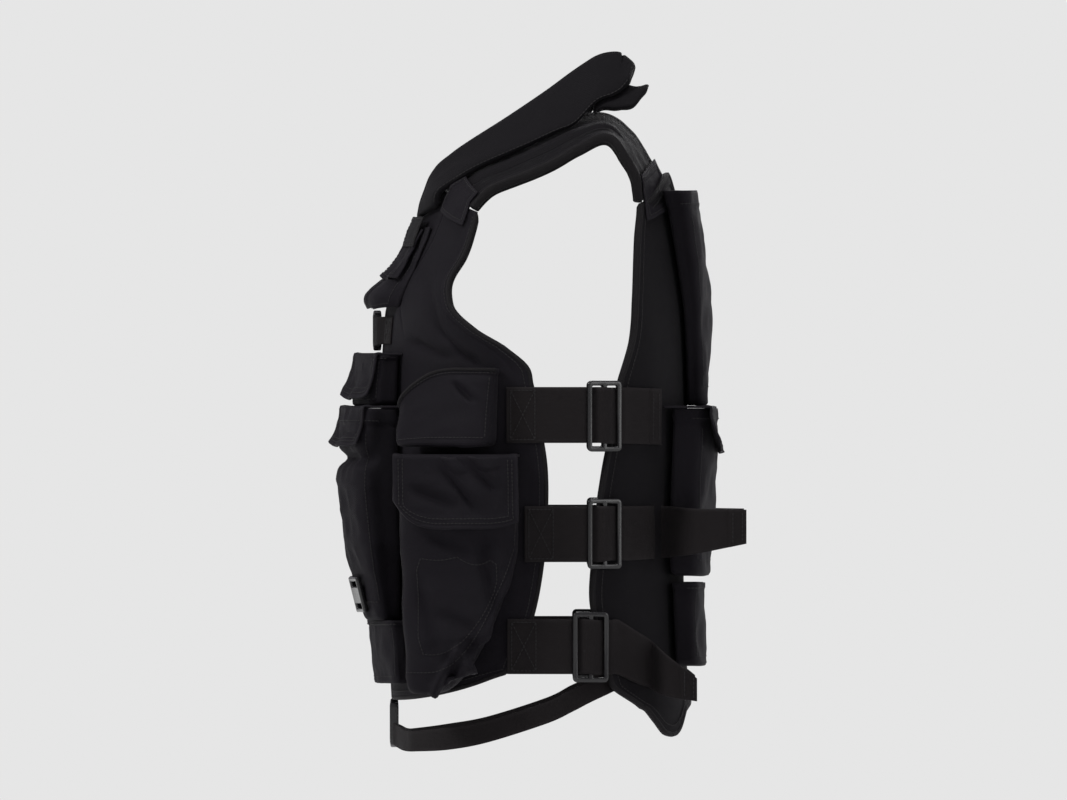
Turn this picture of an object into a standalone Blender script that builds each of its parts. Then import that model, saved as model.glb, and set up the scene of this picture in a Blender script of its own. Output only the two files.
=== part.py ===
"""A load-carrying vest of black nylon cloth, held in the form it has when worn.

Metres, +Z up. The vest faces -Y and its left side is +X. The origin lies midway between the
shoulders, level with the underside of the shoulder straps at their highest point.
"""
import math
from collections import namedtuple

import bmesh
import bpy
import numpy as np
from mathutils import Matrix, Vector

NAME = "tactical_vest"
SIDES = (("left", 1.0), ("right", -1.0))

# The form under the vest: rounded sections round the Z axis
SECTION_POWER = 2.4
BODY = (
    # height, half width, front y, back y
    (-0.560, 0.167, -0.186, 0.078),
    (-0.450, 0.165, -0.191, 0.071),
    (-0.350, 0.167, -0.195, 0.069),
    (-0.250, 0.171, -0.198, 0.072),
    (-0.150, 0.168, -0.194, 0.073),
    (-0.104, 0.165, -0.177, 0.069),
    (-0.060, 0.161, -0.161, 0.064),
    (-0.020, 0.152, -0.142, 0.057),
    (0.020, 0.140, -0.124, 0.046),
)
GIRTH_HEIGHT = -0.300
GIRTH_STEPS = 240
TORSO_CENTRE = (0.0, -0.06, -0.300)
SHOULDER_CENTRE = (0.0, -0.05, -0.100)

# Cloth and webbing
CLOTH = 0.002
PANEL = 0.0035
BACK_PAD = 0.004
WEBBING = 0.0016
GAP = 0.0004

# Front panels, one for each side
FRONT_EDGE = (
    # height, y of the side edge, from the hem up round the armhole
    (-0.482, -0.093),
    (-0.476, -0.0865),
    (-0.429, -0.066),
    (-0.376, -0.056),
    (-0.295, -0.053),
    (-0.219, -0.065),
    (-0.201, -0.070),
    (-0.182, -0.092),
    (-0.170, -0.113),
    (-0.151, -0.134),
    (-0.137, -0.139),
    (-0.121, -0.137),
    (-0.100, -0.125),
    (-0.079, -0.118),
    (-0.060, -0.114),
)
NECKLINE = (
    # height, x of the inner edge
    (-0.150, 0.003),
    (-0.125, 0.004),
    (-0.105, 0.028),
    (-0.085, 0.046),
    (-0.032, 0.064),
)
FRONT_HEM = -0.5015
FRONT_HEM_RISE = 0.0235
FRONT_TOP_INNER = -0.032
FRONT_TOP_OUTER = -0.060

# Back panel, one piece
BACK_EDGE = (
    # height, y of the side edge, from the hem up to the shoulder
    (-0.511, 0.034),
    (-0.491, 0.007),
    (-0.424, -0.010),
    (-0.382, -0.010),
    (-0.318, -0.004),
    (-0.278, 0.003),
    (-0.213, 0.014),
    (-0.177, 0.024),
    (-0.133, 0.027),
    (-0.080, 0.029),
    (-0.053, 0.031),
)
BACK_TOP = (
    # fraction of the way from the middle to the side, height
    (0.00, -0.046),
    (0.25, -0.042),
    (0.46, -0.026),
    (1.00, -0.054),
)
BACK_HEM = (
    # fraction of the way from the middle to the side, height
    (0.00, -0.506),
    (0.40, -0.512),
    (0.62, -0.532),
    (0.78, -0.533),
    (0.90, -0.520),
    (1.00, -0.509),
)

# Shoulder straps: underside, from the front panel over the shoulder to the back panel
STRAP_THICK = 0.007
STRAP = (
    # outer x, y, z, inner x, y, z
    (0.1375, -0.1145, -0.0580, 0.0660, -0.1350, -0.0290),
    (0.1430, -0.1000, -0.0440, 0.0670, -0.1100, -0.0170),
    (0.1460, -0.0790, -0.0350, 0.0680, -0.0880, -0.0060),
    (0.1480, -0.0440, -0.0200, 0.0690, -0.0520, 0.0100),
    (0.1480, -0.0205, -0.0065, 0.0690, -0.0260, 0.0215),
    (0.1470, 0.0020, 0.0030, 0.0670, 0.0005, 0.0240),
    (0.1440, 0.0150, -0.0125, 0.0640, 0.0205, 0.0100),
    (0.1390, 0.0235, -0.0280, 0.0600, 0.0350, -0.0120),
    (0.1260, 0.0265, -0.0485, 0.0570, 0.0470, -0.0340),
)
STRAP_BOW = (
    # strap row, how far its middle stands forward of its edges
    (0.0, 0.0075),
    (1.0, 0.003),
    (2.0, 0.000),
)
ROW_REACH = 0.1

# Shoulder pads: a stiff padded yoke that stands up from each strap beside the neck
PAD_THICK = 0.008
PAD_FRONT = (
    # lower x, z, upper x, z, lift off the front panel
    (0.098, -0.054, 0.056, -0.066, 0.0057),
    (0.098, -0.043, 0.057, -0.047, 0.0095),
)
PAD_ON_STRAP = (
    # strap row, share across the strap, upper x, y, z
    (0.4, 0.55, 0.057, -0.1515, -0.0240),
    (1.0, 0.58, 0.059, -0.1370, -0.0110),
    (1.6, 0.60, 0.061, -0.1205, 0.0008),
    (2.6, 0.62, 0.062, -0.0852, 0.0235),
    (3.4, 0.62, 0.062, -0.0520, 0.0465),
    (4.1, 0.62, 0.060, -0.0247, 0.0675),
)
PAD_FREE = (
    # lower x, y, z, upper x, y, z, behind the strap's top
    (0.098, -0.0050, 0.0380, 0.058, -0.0042, 0.0805),
    (0.097, 0.0090, 0.0440, 0.058, 0.0105, 0.0840),
    (0.095, 0.0180, 0.0500, 0.060, 0.0195, 0.0812),
    (0.092, 0.0240, 0.0580, 0.070, 0.0295, 0.0712),
)
TONGUE_THICK = 0.005
TONGUE_START = 0.70
TONGUE_REACH = 0.0165
TONGUE = (
    # share of its length, lower edge, upper edge, as shares across the pad
    (0.00, -0.02, 0.38),
    (0.50, -0.21, 0.36),
    (0.80, -0.38, 0.14),
    (1.00, -0.34, 0.04),
)

# Flaps on the chest, layered and standing off the panel at their lower ends
CHEST_FLAPS = (
    # name, rows of height, inner x, outer x, lift, lift of the outer edge
    ("chest_flap_upper", (
        (-0.076, 0.036, 0.086, 0.0082, 0.0078),
        (-0.092, 0.033, 0.083, 0.0090, 0.0084),
        (-0.106, 0.030, 0.081, 0.0112, 0.0096),
        (-0.121, 0.027, 0.079, 0.0175, 0.0120),
    )),
    ("chest_flap_lower", (
        (-0.074, 0.034, 0.096, 0.0044, 0.0042),
        (-0.092, 0.030, 0.094, 0.0050, 0.0042),
        (-0.108, 0.023, 0.090, 0.0072, 0.0042),
        (-0.122, 0.016, 0.086, 0.0138, 0.0042),
        (-0.136, 0.012, 0.084, 0.0235, 0.0042),
        (-0.145, 0.012, 0.083, 0.0180, 0.0042),
    )),
)
CHEST_FLAP_TURN = 6

# Pouches with open mouths: place of the middle round the body, then sizes
POUCH_POWER = 5.0
POUCH_CLEAR = 0.0010
BACK_CLEAR = 0.0014
POUCH_AROUND = 16
BACK_POUCH_AROUND = 24
POUCH_RINGS = (
    # share of the width, share of the height
    (0.00, 0.000),
    (0.80, 0.000),
    (1.00, 0.070),
    (1.00, 0.400),
    (1.00, 0.720),
    (1.00, 1.000),
)
TALL_POUCH_BELLY = 0.0105
Pouch = namedtuple("Pouch", "name girth facing bottom width height low high bow dip rise narrow")
SIDE_POUCHES = (
    # girth of its middle, degrees it faces from straight ahead, bottom, width, height, depth low
    # and high, bow of its face, dip of the mouth's front end, rise of its rear corner, narrowing
    Pouch("chest_pouch", 0.062, 14.0, -0.233, 0.082, 0.043, 0.026, 0.022, 0.003, 0.0, 0.0, 0.0),
    Pouch("tall_pouch", 0.064, 14.0, -0.428, 0.086, 0.190, 0.022, 0.035, 0.004, 0.0, 0.0, 0.34),
    Pouch("low_front_pouch", 0.060, 14.0, -0.486, 0.086, 0.055, 0.012, 0.016, 0.002, 0.0, 0.0, 0.0),
    Pouch("side_pocket", 0.172, 66.0, -0.270, 0.090, 0.068, 0.034, 0.020, 0.004, 0.5, 0.0, 0.0),
    Pouch("side_pouch", 0.178, 86.0, -0.494, 0.109, 0.212, 0.036, 0.040, 0.006, 0.0, 0.055, 0.0),
)
RISE_START = -0.55
MOUTH_PEAK = 0.35
MOUTH_CURVE = 2.5
BACK_POUCHES = (
    Pouch("upper_back_pocket", 0.494, 180.0, -0.233, 0.224, 0.193, 0.016, 0.016, 0.004, 0.0, 0.0, 0.50),
    Pouch("back_pouch", 0.494, 180.0, -0.388, 0.222, 0.150, 0.020, 0.023, 0.006, 0.0, 0.0, 0.0),
    Pouch("low_back_pouch", 0.494, 180.0, -0.470, 0.206, 0.073, 0.015, 0.015, 0.004, 0.0, 0.0, 0.0),
)
NARROWING_STARTS = {"upper_back_pocket": 1.0, "tall_pouch": 0.35}
FLAP_THICK = 0.0022
FLAP_CLEAR = 0.0009
FLAP_ROWS = 5
FLAP_TURN = 0.4
Flap = namedtuple("Flap", "name pouch length stand front_rise rear_rise")
FLAPS = (
    # length down the front, how far the lower edge stands off, rise of its front and rear corner
    Flap("chest_pouch_flap", "chest_pouch", 0.041, 0.004, 0.10, 0.10),
    Flap("tall_pouch_flap", "tall_pouch", 0.036, 0.003, 0.10, 0.10),
    Flap("side_pouch_flap", "side_pouch", 0.066, 0.006, 0.34, 0.10),
    Flap("back_pouch_flap", "back_pouch", 0.042, 0.005, 0.20, 0.20),
)
FLAP_SPREAD = 1.03

# Side straps of wide webbing, each through a plastic slider
SIDE_STRAPS = (
    # name, then rows of y, top and bottom on the front and on the back panel, and free rows of
    # x, y, top and bottom
    ("side_strap_1", (
        (-0.088, -0.2186, -0.2694),
        (-0.056, -0.2186, -0.2694),
    ), (
        (0.022, -0.2190, -0.2700),
        (0.034, -0.2195, -0.2705),
        (0.046, -0.2200, -0.2710),
    ), ()),
    ("side_strap_2", (
        (-0.072, -0.3266, -0.3774),
        (-0.054, -0.3266, -0.3774),
    ), (
        (0.020, -0.3266, -0.3760),
        (0.035, -0.3266, -0.3750),
        (0.050, -0.3266, -0.3740),
    ), (
        (0.140, 0.084, -0.3290, -0.3700),
        (0.134, 0.129, -0.3300, -0.3610),
    )),
    ("side_strap_3", (
        (-0.087, -0.4290, -0.4790),
        (-0.060, -0.4290, -0.4790),
    ), (
        (0.010, -0.4300, -0.4795),
        (0.025, -0.4400, -0.4870),
        (0.040, -0.4500, -0.4930),
    ), (
        (0.146, 0.060, -0.4640, -0.5000),
        (0.142, 0.084, -0.4830, -0.5040),
    )),
)
SEWN_STEPS = 2
STRAP_CLEAR = 0.0010
SLIDERS = (
    # name, y, z, height
    ("slider_1", -0.0030, -0.2450, 0.0645),
    ("slider_2", -0.0030, -0.3518, 0.0640),
    ("slider_3", -0.0145, -0.4545, 0.0640),
)
SLIDER_LONG = 0.034
SLIDER_BAR = 0.0045
SLIDER_RAIL = 0.0050
SLIDER_THICK = 0.0034
SLIDER_CORNER = 0.0024
SLIDER_LIFT = 0.0070
STRAP_ON_BAR = 0.0041
STRAP_BEFORE_SLIDER = 0.004
STRAP_AFTER_SLIDER = 0.003

# Waist strap below the hem, and the two buckles on the middle of the front
WAIST_STRAP = (
    # y, top, bottom, lift
    (0.024, -0.468, -0.488, -0.0034),
    (0.008, -0.476, -0.496, -0.0034),
    (-0.012, -0.485, -0.505, -0.0030),
    (-0.030, -0.493, -0.514, -0.0015),
    (-0.052, -0.504, -0.524, 0.0),
    (-0.105, -0.521, -0.541, 0.001),
    (-0.140, -0.5275, -0.5480, 0.002),
    (-0.168, -0.5310, -0.5500, 0.003),
)
WAIST_STRAP_LEAN = 0.0005
WAIST_FRONT = (
    # x, y, top, bottom, up to the buckle
    (0.0800, -0.1790, -0.5310, -0.5500),
    (0.0520, -0.1848, -0.5280, -0.5480),
    (0.0264, -0.1901, -0.5250, -0.5450),
)
BUCKLE_SHAPE = (
    # share of the length from the seam, share of the half width
    (0.00, 0.80),
    (0.30, 1.00),
    (0.75, 1.00),
    (1.00, 0.86),
)
BUCKLES = (
    # name, y, z, length of one half, height, thickness
    ("chest_buckle", -0.2065, -0.1670, 0.023, 0.037, 0.011),
    ("waist_buckle", -0.1910, -0.5250, 0.026, 0.045, 0.011),
)
BUCKLE_EDGE = 0.002
CHEST_TAB_HEIGHT = 0.025
CHEST_TAB_END = 0.070
CHEST_TAB_OUT = 0.0011
CHEST_TAB_RAMP = 0.012
POUCH_BUCKLE_SIZE = (0.028, 0.009, 0.033)
POUCH_BUCKLE_HEIGHT = -0.4060
POUCH_STEP = 0.1

MATERIALS = (
    # name, red, green, blue, roughness
    ("nylon_cloth", 0.0130, 0.0128, 0.0150, 0.85),
    ("padded_cloth", 0.0150, 0.0146, 0.0162, 0.80),
    ("webbing", 0.0170, 0.0150, 0.0150, 0.75),
    ("black_plastic", 0.0120, 0.0120, 0.0125, 0.35),
)


def clear_scene():
    for item in list(bpy.data.objects):
        bpy.data.objects.remove(item, do_unlink=True)


def make_collection():
    collection = bpy.data.collections.new(NAME)
    bpy.context.scene.collection.children.link(collection)
    return collection


def make_materials():
    for name, red, green, blue, roughness in MATERIALS:
        material = bpy.data.materials.new(name)
        material.use_nodes = True
        shader = material.node_tree.nodes["Principled BSDF"]
        shader.inputs["Base Color"].default_value = (red, green, blue, 1.0)
        shader.inputs["Roughness"].default_value = roughness
        material.diffuse_color = (red, green, blue, 1.0)


def between(rows, value, column):
    """One column of a table at a value of its first column, joined by straight lines."""
    ordered = sorted(rows)
    keys = [row[0] for row in ordered]
    return float(np.interp(value, keys, [row[column] for row in ordered]))


def along(rows, place):
    """A smooth row of a table at a fractional row number."""
    place = min(max(place, 0.0), len(rows) - 1.0)
    index = min(int(place), len(rows) - 2)
    part = place - index
    first = np.array(rows[max(index - 1, 0)])
    start = np.array(rows[index])
    end = np.array(rows[index + 1])
    last = np.array(rows[min(index + 2, len(rows) - 1)])
    slope_in = (end - first) / 2.0
    slope_out = (last - start) / 2.0
    squared = part * part
    cubed = squared * part
    return ((2 * cubed - 3 * squared + 1) * start + (cubed - 2 * squared + part) * slope_in
            + (3 * squared - 2 * cubed) * end + (cubed - squared) * slope_out)


def smooth_between(rows, value):
    """All later columns of a table at a value of its first column, joined smoothly."""
    ordered = sorted(rows)
    keys = [row[0] for row in ordered]
    place = float(np.interp(value, keys, range(len(keys))))
    return along([row[1:] for row in ordered], place)


def body_section(height):
    """Half width, middle y and half depth of the form at a height."""
    half_width, front, back = smooth_between(BODY, height)
    return half_width, (front + back) / 2.0, (back - front) / 2.0


def make_girth_table():
    """Lengths round the form from the middle of the front, with the turn at each."""
    half_width, _, half_depth = body_section(GIRTH_HEIGHT)
    turns = np.linspace(0.0, math.pi, GIRTH_STEPS + 1)
    across = half_width * np.sin(turns).clip(0.0) ** (2.0 / SECTION_POWER)
    cosines = np.cos(turns)
    deep = half_depth * np.sign(cosines) * np.abs(cosines) ** (2.0 / SECTION_POWER)
    steps = np.hypot(np.diff(across), np.diff(deep))
    return turns, np.concatenate([[0.0], np.cumsum(steps)])


TURNS, GIRTHS = make_girth_table()
BACK_GIRTH = float(GIRTHS[-1])


def girth_at_y(y, height):
    """Length round the form from the middle of the front to where it has this y."""
    _, middle, half_depth = body_section(height)
    share = min(max((middle - y) / half_depth, -1.0), 1.0)
    cosine = math.copysign(abs(share) ** (SECTION_POWER / 2.0), share)
    return float(np.interp(math.acos(cosine), TURNS, GIRTHS))


def girth_at_x(x, height):
    """Length round the form from the middle of the front to where it has this x."""
    half_width, _, _ = body_section(height)
    share = min(x / half_width, 1.0)
    return float(np.interp(math.asin(share ** (SECTION_POWER / 2.0)), TURNS, GIRTHS))


def on_body(side, girth, height, lift):
    """A point over the form, a lift away from it. A girth past either middle crosses over."""
    if girth < 0.0:
        side, girth = -side, -girth
    if girth > BACK_GIRTH:
        side, girth = -side, 2.0 * BACK_GIRTH - girth
    turn = float(np.interp(girth, GIRTHS, TURNS))
    half_width, middle, half_depth = body_section(height)
    across = max(math.sin(turn), 0.0) ** (2.0 / SECTION_POWER)
    cosine = math.cos(turn)
    deep = -math.copysign(abs(cosine) ** (2.0 / SECTION_POWER), cosine)
    normal_x = across ** (SECTION_POWER - 1.0) / half_width
    normal_y = math.copysign(abs(deep) ** (SECTION_POWER - 1.0), deep) / half_depth
    size = math.hypot(normal_x, normal_y)
    x = half_width * across + lift * normal_x / size
    y = middle + half_depth * deep + lift * normal_y / size
    return Vector((side * x, y, height))


def finish(name, material, builder, collection, centre, thick, grows_out):
    """Make an object of an open surface, wind it away from a centre and thicken it."""
    middle = Vector(centre)
    lean = sum((face.calc_center_median() - middle).dot(face.normal) * face.calc_area()
               for face in builder.faces)
    if lean < 0.0:
        bmesh.ops.reverse_faces(builder, faces=builder.faces[:])
    mesh = bpy.data.meshes.new(name)
    builder.to_mesh(mesh)
    builder.free()
    mesh.shade_smooth()
    mesh.materials.append(bpy.data.materials[material])
    item = bpy.data.objects.new(name, mesh)
    collection.objects.link(item)
    solid = item.modifiers.new("thickness", "SOLIDIFY")
    solid.thickness = thick
    solid.offset = 1.0 if grows_out else -1.0
    return item


def sheet(name, material, collection, columns, rows, point, thick, centre, grows_out=True):
    """A thick sheet: a grid whose points come from a function of two shares from 0 to 1."""
    builder = bmesh.new()
    bmesh.ops.create_grid(builder, x_segments=columns, y_segments=rows, size=0.5)
    for vertex in builder.verts:
        vertex.co = point(vertex.co.x + 0.5, vertex.co.y + 0.5)
    builder.normal_update()
    return finish(name, material, builder, collection, centre, thick, grows_out)


def add_front_panel(side_name, side, collection):
    top_edge = FRONT_EDGE[-1][1]

    def point(across, up):
        hem = FRONT_HEM + FRONT_HEM_RISE * across ** 4
        top = FRONT_TOP_INNER + (FRONT_TOP_OUTER - FRONT_TOP_INNER) * across
        height = hem + (top - hem) * up
        inner = girth_at_x(between(NECKLINE, height, 1), height)
        edge = between(FRONT_EDGE, height, 1) if height < FRONT_TOP_OUTER else top_edge
        outer = girth_at_y(edge, height)
        return on_body(side, inner + (outer - inner) * across, height, 0.0)

    sheet("front_panel_" + side_name, "nylon_cloth", collection, 8, 17, point, PANEL,
          TORSO_CENTRE)


def add_back_panel(collection):
    def point(across, up):
        side = 1.0 if across >= 0.5 else -1.0
        share = abs(2.0 * across - 1.0)
        hem = between(BACK_HEM, share, 1)
        top = between(BACK_TOP, share, 1)
        height = hem + (top - hem) * up
        edge = girth_at_y(between(BACK_EDGE, height, 1), height)
        return on_body(side, BACK_GIRTH + (edge - BACK_GIRTH) * share, height, 0.0)

    sheet("back_panel", "padded_cloth", collection, 16, 16, point, BACK_PAD, TORSO_CENTRE)


def strap_point(side, row, across, lift=0.0):
    """A point over a shoulder strap: row along it, share from its outer to its inner edge."""
    outer_x, outer_y, outer_z, inner_x, inner_y, inner_z = along(STRAP, row)
    outer = Vector((outer_x, outer_y, outer_z))
    inner = Vector((inner_x, inner_y, inner_z))
    ahead = along(STRAP, min(row + ROW_REACH, len(STRAP) - 1.0))
    behind = along(STRAP, max(row - ROW_REACH, 0.0))
    run = Vector((ahead - behind)[:3]) + Vector((ahead - behind)[3:])
    normal = run.cross(outer - inner).normalized()
    if normal.z < 0.0 and normal.x < 0.0:
        normal = -normal
    bow = between(STRAP_BOW, row, 1) * 4.0 * across * (1.0 - across)
    spot = outer.lerp(inner, across) + normal * lift - Vector((0.0, bow, 0.0))
    return Vector((side * spot.x, spot.y, spot.z))


def add_shoulder_strap(side_name, side, collection):
    def point(across, run):
        return strap_point(side, run * (len(STRAP) - 1.0), across)

    sheet("shoulder_strap_" + side_name, "padded_cloth", collection, 3, 18, point, STRAP_THICK,
          SHOULDER_CENTRE)


def pad_rows(side):
    """Lower and upper points of a shoulder pad's outer face from its front to its free end."""
    rows = []
    for lower_x, lower_z, upper_x, upper_z, lift in PAD_FRONT:
        lower = on_body(1.0, girth_at_x(lower_x, lower_z), lower_z, lift)
        upper = on_body(1.0, girth_at_x(upper_x, upper_z), upper_z, lift)
        rows.append((*lower, *upper))
    for row, across, *upper in PAD_ON_STRAP:
        lower = strap_point(1.0, row, across, STRAP_THICK + 2.0 * GAP)
        rows.append((*lower, *upper))
    rows.extend(PAD_FREE)
    return rows


def pad_point(rows, side, run, across, lift=0.0):
    """A point over a shoulder pad's inner face: shares along it and up across it."""
    place = run * (len(rows) - 1.0)
    values = along(rows, place)
    lower = Vector(values[:3])
    upper = Vector(values[3:])
    ahead = along(rows, min(place + ROW_REACH, len(rows) - 1.0))
    behind = along(rows, max(place - ROW_REACH, 0.0))
    run_direction = Vector((ahead - behind)[:3]) + Vector((ahead - behind)[3:])
    normal = run_direction.cross(lower - upper).normalized()
    if normal.x < 0.0:
        normal = -normal
    spot = lower.lerp(upper, across) + normal * lift
    return Vector((side * spot.x, spot.y, spot.z))


def add_shoulder_pad(side_name, side, collection):
    rows = pad_rows(side)

    def point(across, run):
        return pad_point(rows, side, run, across)

    sheet("shoulder_pad_" + side_name, "padded_cloth", collection, 3, 22, point, PAD_THICK,
          SHOULDER_CENTRE)

    def tongue(across, run):
        start, end = between(TONGUE, run, 1), between(TONGUE, run, 2)
        place = TONGUE_START + (1.0 - TONGUE_START) * run
        spot = pad_point(rows, side, place, start + (end - start) * across, -GAP)
        return spot + Vector((0.0, TONGUE_REACH * run ** 2, 0.0))

    sheet("shoulder_pad_tongue_" + side_name, "padded_cloth", collection, 3, 6, tongue,
          TONGUE_THICK, SHOULDER_CENTRE, grows_out=False)


def add_chest_flaps(side_name, side, collection):
    for name, rows in CHEST_FLAPS:
        def point(across, run, rows=rows):
            height, inner, outer, lift, edge_lift = along(rows, run * (len(rows) - 1.0))
            x = inner + (outer - inner) * across
            turned = edge_lift + (lift - edge_lift) * (1.0 - across ** CHEST_FLAP_TURN)
            return on_body(side, girth_at_x(x, height), height, turned)

        sheet(name + "_" + side_name, "nylon_cloth", collection, 4, 5, point, CLOTH,
              TORSO_CENTRE)


def cut_corner(pouch, across):
    """How far the bottom of a pouch is raised towards its rear corner."""
    return pouch.rise * max(0.0, across - RISE_START) ** 2


def pouch_point(pouch, side, across, up, out):
    """A point in a pouch: -1 to 1 across it, 0 to 1 up it and 0 to 1 out from the panel."""
    starts = NARROWING_STARTS.get(pouch.name, 1.0)
    half = pouch.width / 2.0 * (1.0 - pouch.narrow * max(0.0, starts - up) / starts)
    level = pouch.bottom + up * pouch.height + cut_corner(pouch, across) * (1.0 - up)
    lift = BACK_PAD + BACK_CLEAR if pouch.facing > 90.0 else PANEL + POUCH_CLEAR
    angle = math.radians(pouch.facing)
    normal = Vector((math.sin(angle), -math.cos(angle), 0.0))
    tangent = Vector((math.cos(angle), math.sin(angle), 0.0))
    base = on_body(1.0, pouch.girth + across * half, level, lift)
    depth = pouch.low + (pouch.high - pouch.low) * min(max(up, 0.0), 1.0)
    if pouch.name == "tall_pouch":
        depth += TALL_POUCH_BELLY * math.sin(math.pi * min(max(up, 0.0), 1.0))
    middle = on_body(1.0, pouch.girth, level, lift)
    front = middle + tangent * (across * half) + normal * (depth - pouch.bow * across * across)
    spot = base.lerp(front, out)
    return Vector((side * spot.x, spot.y, spot.z))


def add_pouch(name, pouch, side, collection, around):
    """A cloth cup: rings from the middle of its bottom up to its open mouth."""
    builder = bmesh.new()
    rings = len(POUCH_RINGS) - 1
    bmesh.ops.create_grid(builder, x_segments=around, y_segments=rings, size=0.5)
    for vertex in builder.verts:
        angle = 2.0 * math.pi * (vertex.co.x + 0.5)
        share, up = POUCH_RINGS[round((vertex.co.y + 0.5) * rings)]
        reach = (abs(math.cos(angle)) ** POUCH_POWER
                 + abs(math.sin(angle)) ** POUCH_POWER) ** (-1.0 / POUCH_POWER)
        across = share * reach * math.cos(angle)
        out = share * reach * math.sin(angle)
        ahead = max(0.0, MOUTH_PEAK - across) / (1.0 + MOUTH_PEAK)
        level = up * (1.0 - pouch.dip * ahead ** MOUTH_CURVE)
        vertex.co = pouch_point(pouch, side, across, level, 0.5 + 0.5 * out)
    bmesh.ops.remove_doubles(builder, verts=builder.verts[:], dist=0.00001)
    builder.normal_update()
    centre = pouch_point(pouch, side, 0.0, 0.5, 0.5)
    finish(name, "nylon_cloth", builder, collection, centre, CLOTH, grows_out=False)


def flap_point(flap, pouch, side, across, run):
    """A point on a flap: over the mouth first, then from FLAP_TURN on down the front."""
    above = FLAP_CLEAR / pouch.height
    beyond = 1.0 + FLAP_CLEAR / pouch.high
    if run < FLAP_TURN:
        share = run / FLAP_TURN
        return pouch_point(pouch, side, across, 1.0 + above, share * beyond)
    share = (run - FLAP_TURN) / (1.0 - FLAP_TURN)
    rise = flap.front_rise if across < 0.0 else flap.rear_rise
    down = flap.length * (1.0 - rise * across ** 4)
    off = flap.stand / pouch.high * share ** 2
    level = 1.0 + above - share * down / (pouch.height - cut_corner(pouch, across))
    return pouch_point(pouch, side, across, level, beyond + off)


def add_flap(name, flap, pouch, side, collection):
    def point(across, run):
        return flap_point(flap, pouch, side, (2.0 * across - 1.0) * FLAP_SPREAD, run)

    centre = pouch_point(pouch, side, 0.0, 0.6, 0.3)
    sheet(name, "nylon_cloth", collection, 6, FLAP_ROWS, point, FLAP_THICK, centre)


def slider_frame(row):
    """Middle, direction round the body and direction out of it at a slider."""
    _, y, z, _ = row
    small = 0.001
    girth = girth_at_y(y, z)
    middle = on_body(1.0, girth, z, 0.0)
    normal = (on_body(1.0, girth, z, small) - middle).normalized()
    tangent = Vector((-normal.y, normal.x, 0.0))
    return middle, tangent, normal


def strap_row(y, top, bottom, lift):
    return (on_body(1.0, girth_at_y(y, top), top, lift),
            on_body(1.0, girth_at_y(y, bottom), bottom, lift))


def side_strap_points(slider, sewn, behind, free):
    """Top and bottom points: sewn part, through the slider, over the back, then the loose end."""
    low = BACK_PAD + STRAP_CLEAR
    high = SLIDER_LIFT + SLIDER_THICK + GAP
    reach = SLIDER_LONG / 2.0
    middle, tangent, normal = slider_frame(slider)
    points = []
    start_y, start_top, start_bottom = sewn[0]
    end_y, end_top, end_bottom = sewn[1]
    for step in range(SEWN_STEPS + 1):
        share = step / SEWN_STEPS
        y = start_y + (end_y - start_y) * share
        top = start_top + (end_top - start_top) * share
        bottom = start_bottom + (end_bottom - start_bottom) * share
        points.append(strap_row(y, top, bottom, PANEL + STRAP_CLEAR))
    through = (
        (-reach - STRAP_BEFORE_SLIDER, low),
        (-reach + SLIDER_RAIL, low),
        (-STRAP_ON_BAR, high),
        (STRAP_ON_BAR, high),
        (reach - SLIDER_RAIL, low),
        (reach + STRAP_AFTER_SLIDER, low),
    )
    for offset, lift in through:
        spot = middle + tangent * offset + normal * lift
        top, bottom = (end_top, end_bottom) if offset < 0.0 else behind[0][1:]
        points.append((Vector((spot.x, spot.y, top)), Vector((spot.x, spot.y, bottom))))
    points.extend(strap_row(y, top, bottom, low) for y, top, bottom in behind)
    for x, y, top, bottom in free:
        points.append((Vector((x, y, top)), Vector((x, y, bottom))))
    return points


def add_strap(name, side, points, collection):
    def point(run, up):
        upper, lower = points[round(run * (len(points) - 1))]
        spot = lower.lerp(upper, up)
        return Vector((side * spot.x, spot.y, spot.z))

    sheet(name, "webbing", collection, len(points) - 1, 1, point, WEBBING, TORSO_CENTRE)


def rectangle(curve, left, bottom, right, top):
    spline = curve.splines.new("POLY")
    spline.points.add(3)
    corners = ((left, bottom), (right, bottom), (right, top), (left, top))
    for corner, (x, y) in zip(spline.points, corners):
        corner.co = (x, y, 0.0, 1.0)
    spline.use_cyclic_u = True


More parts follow.
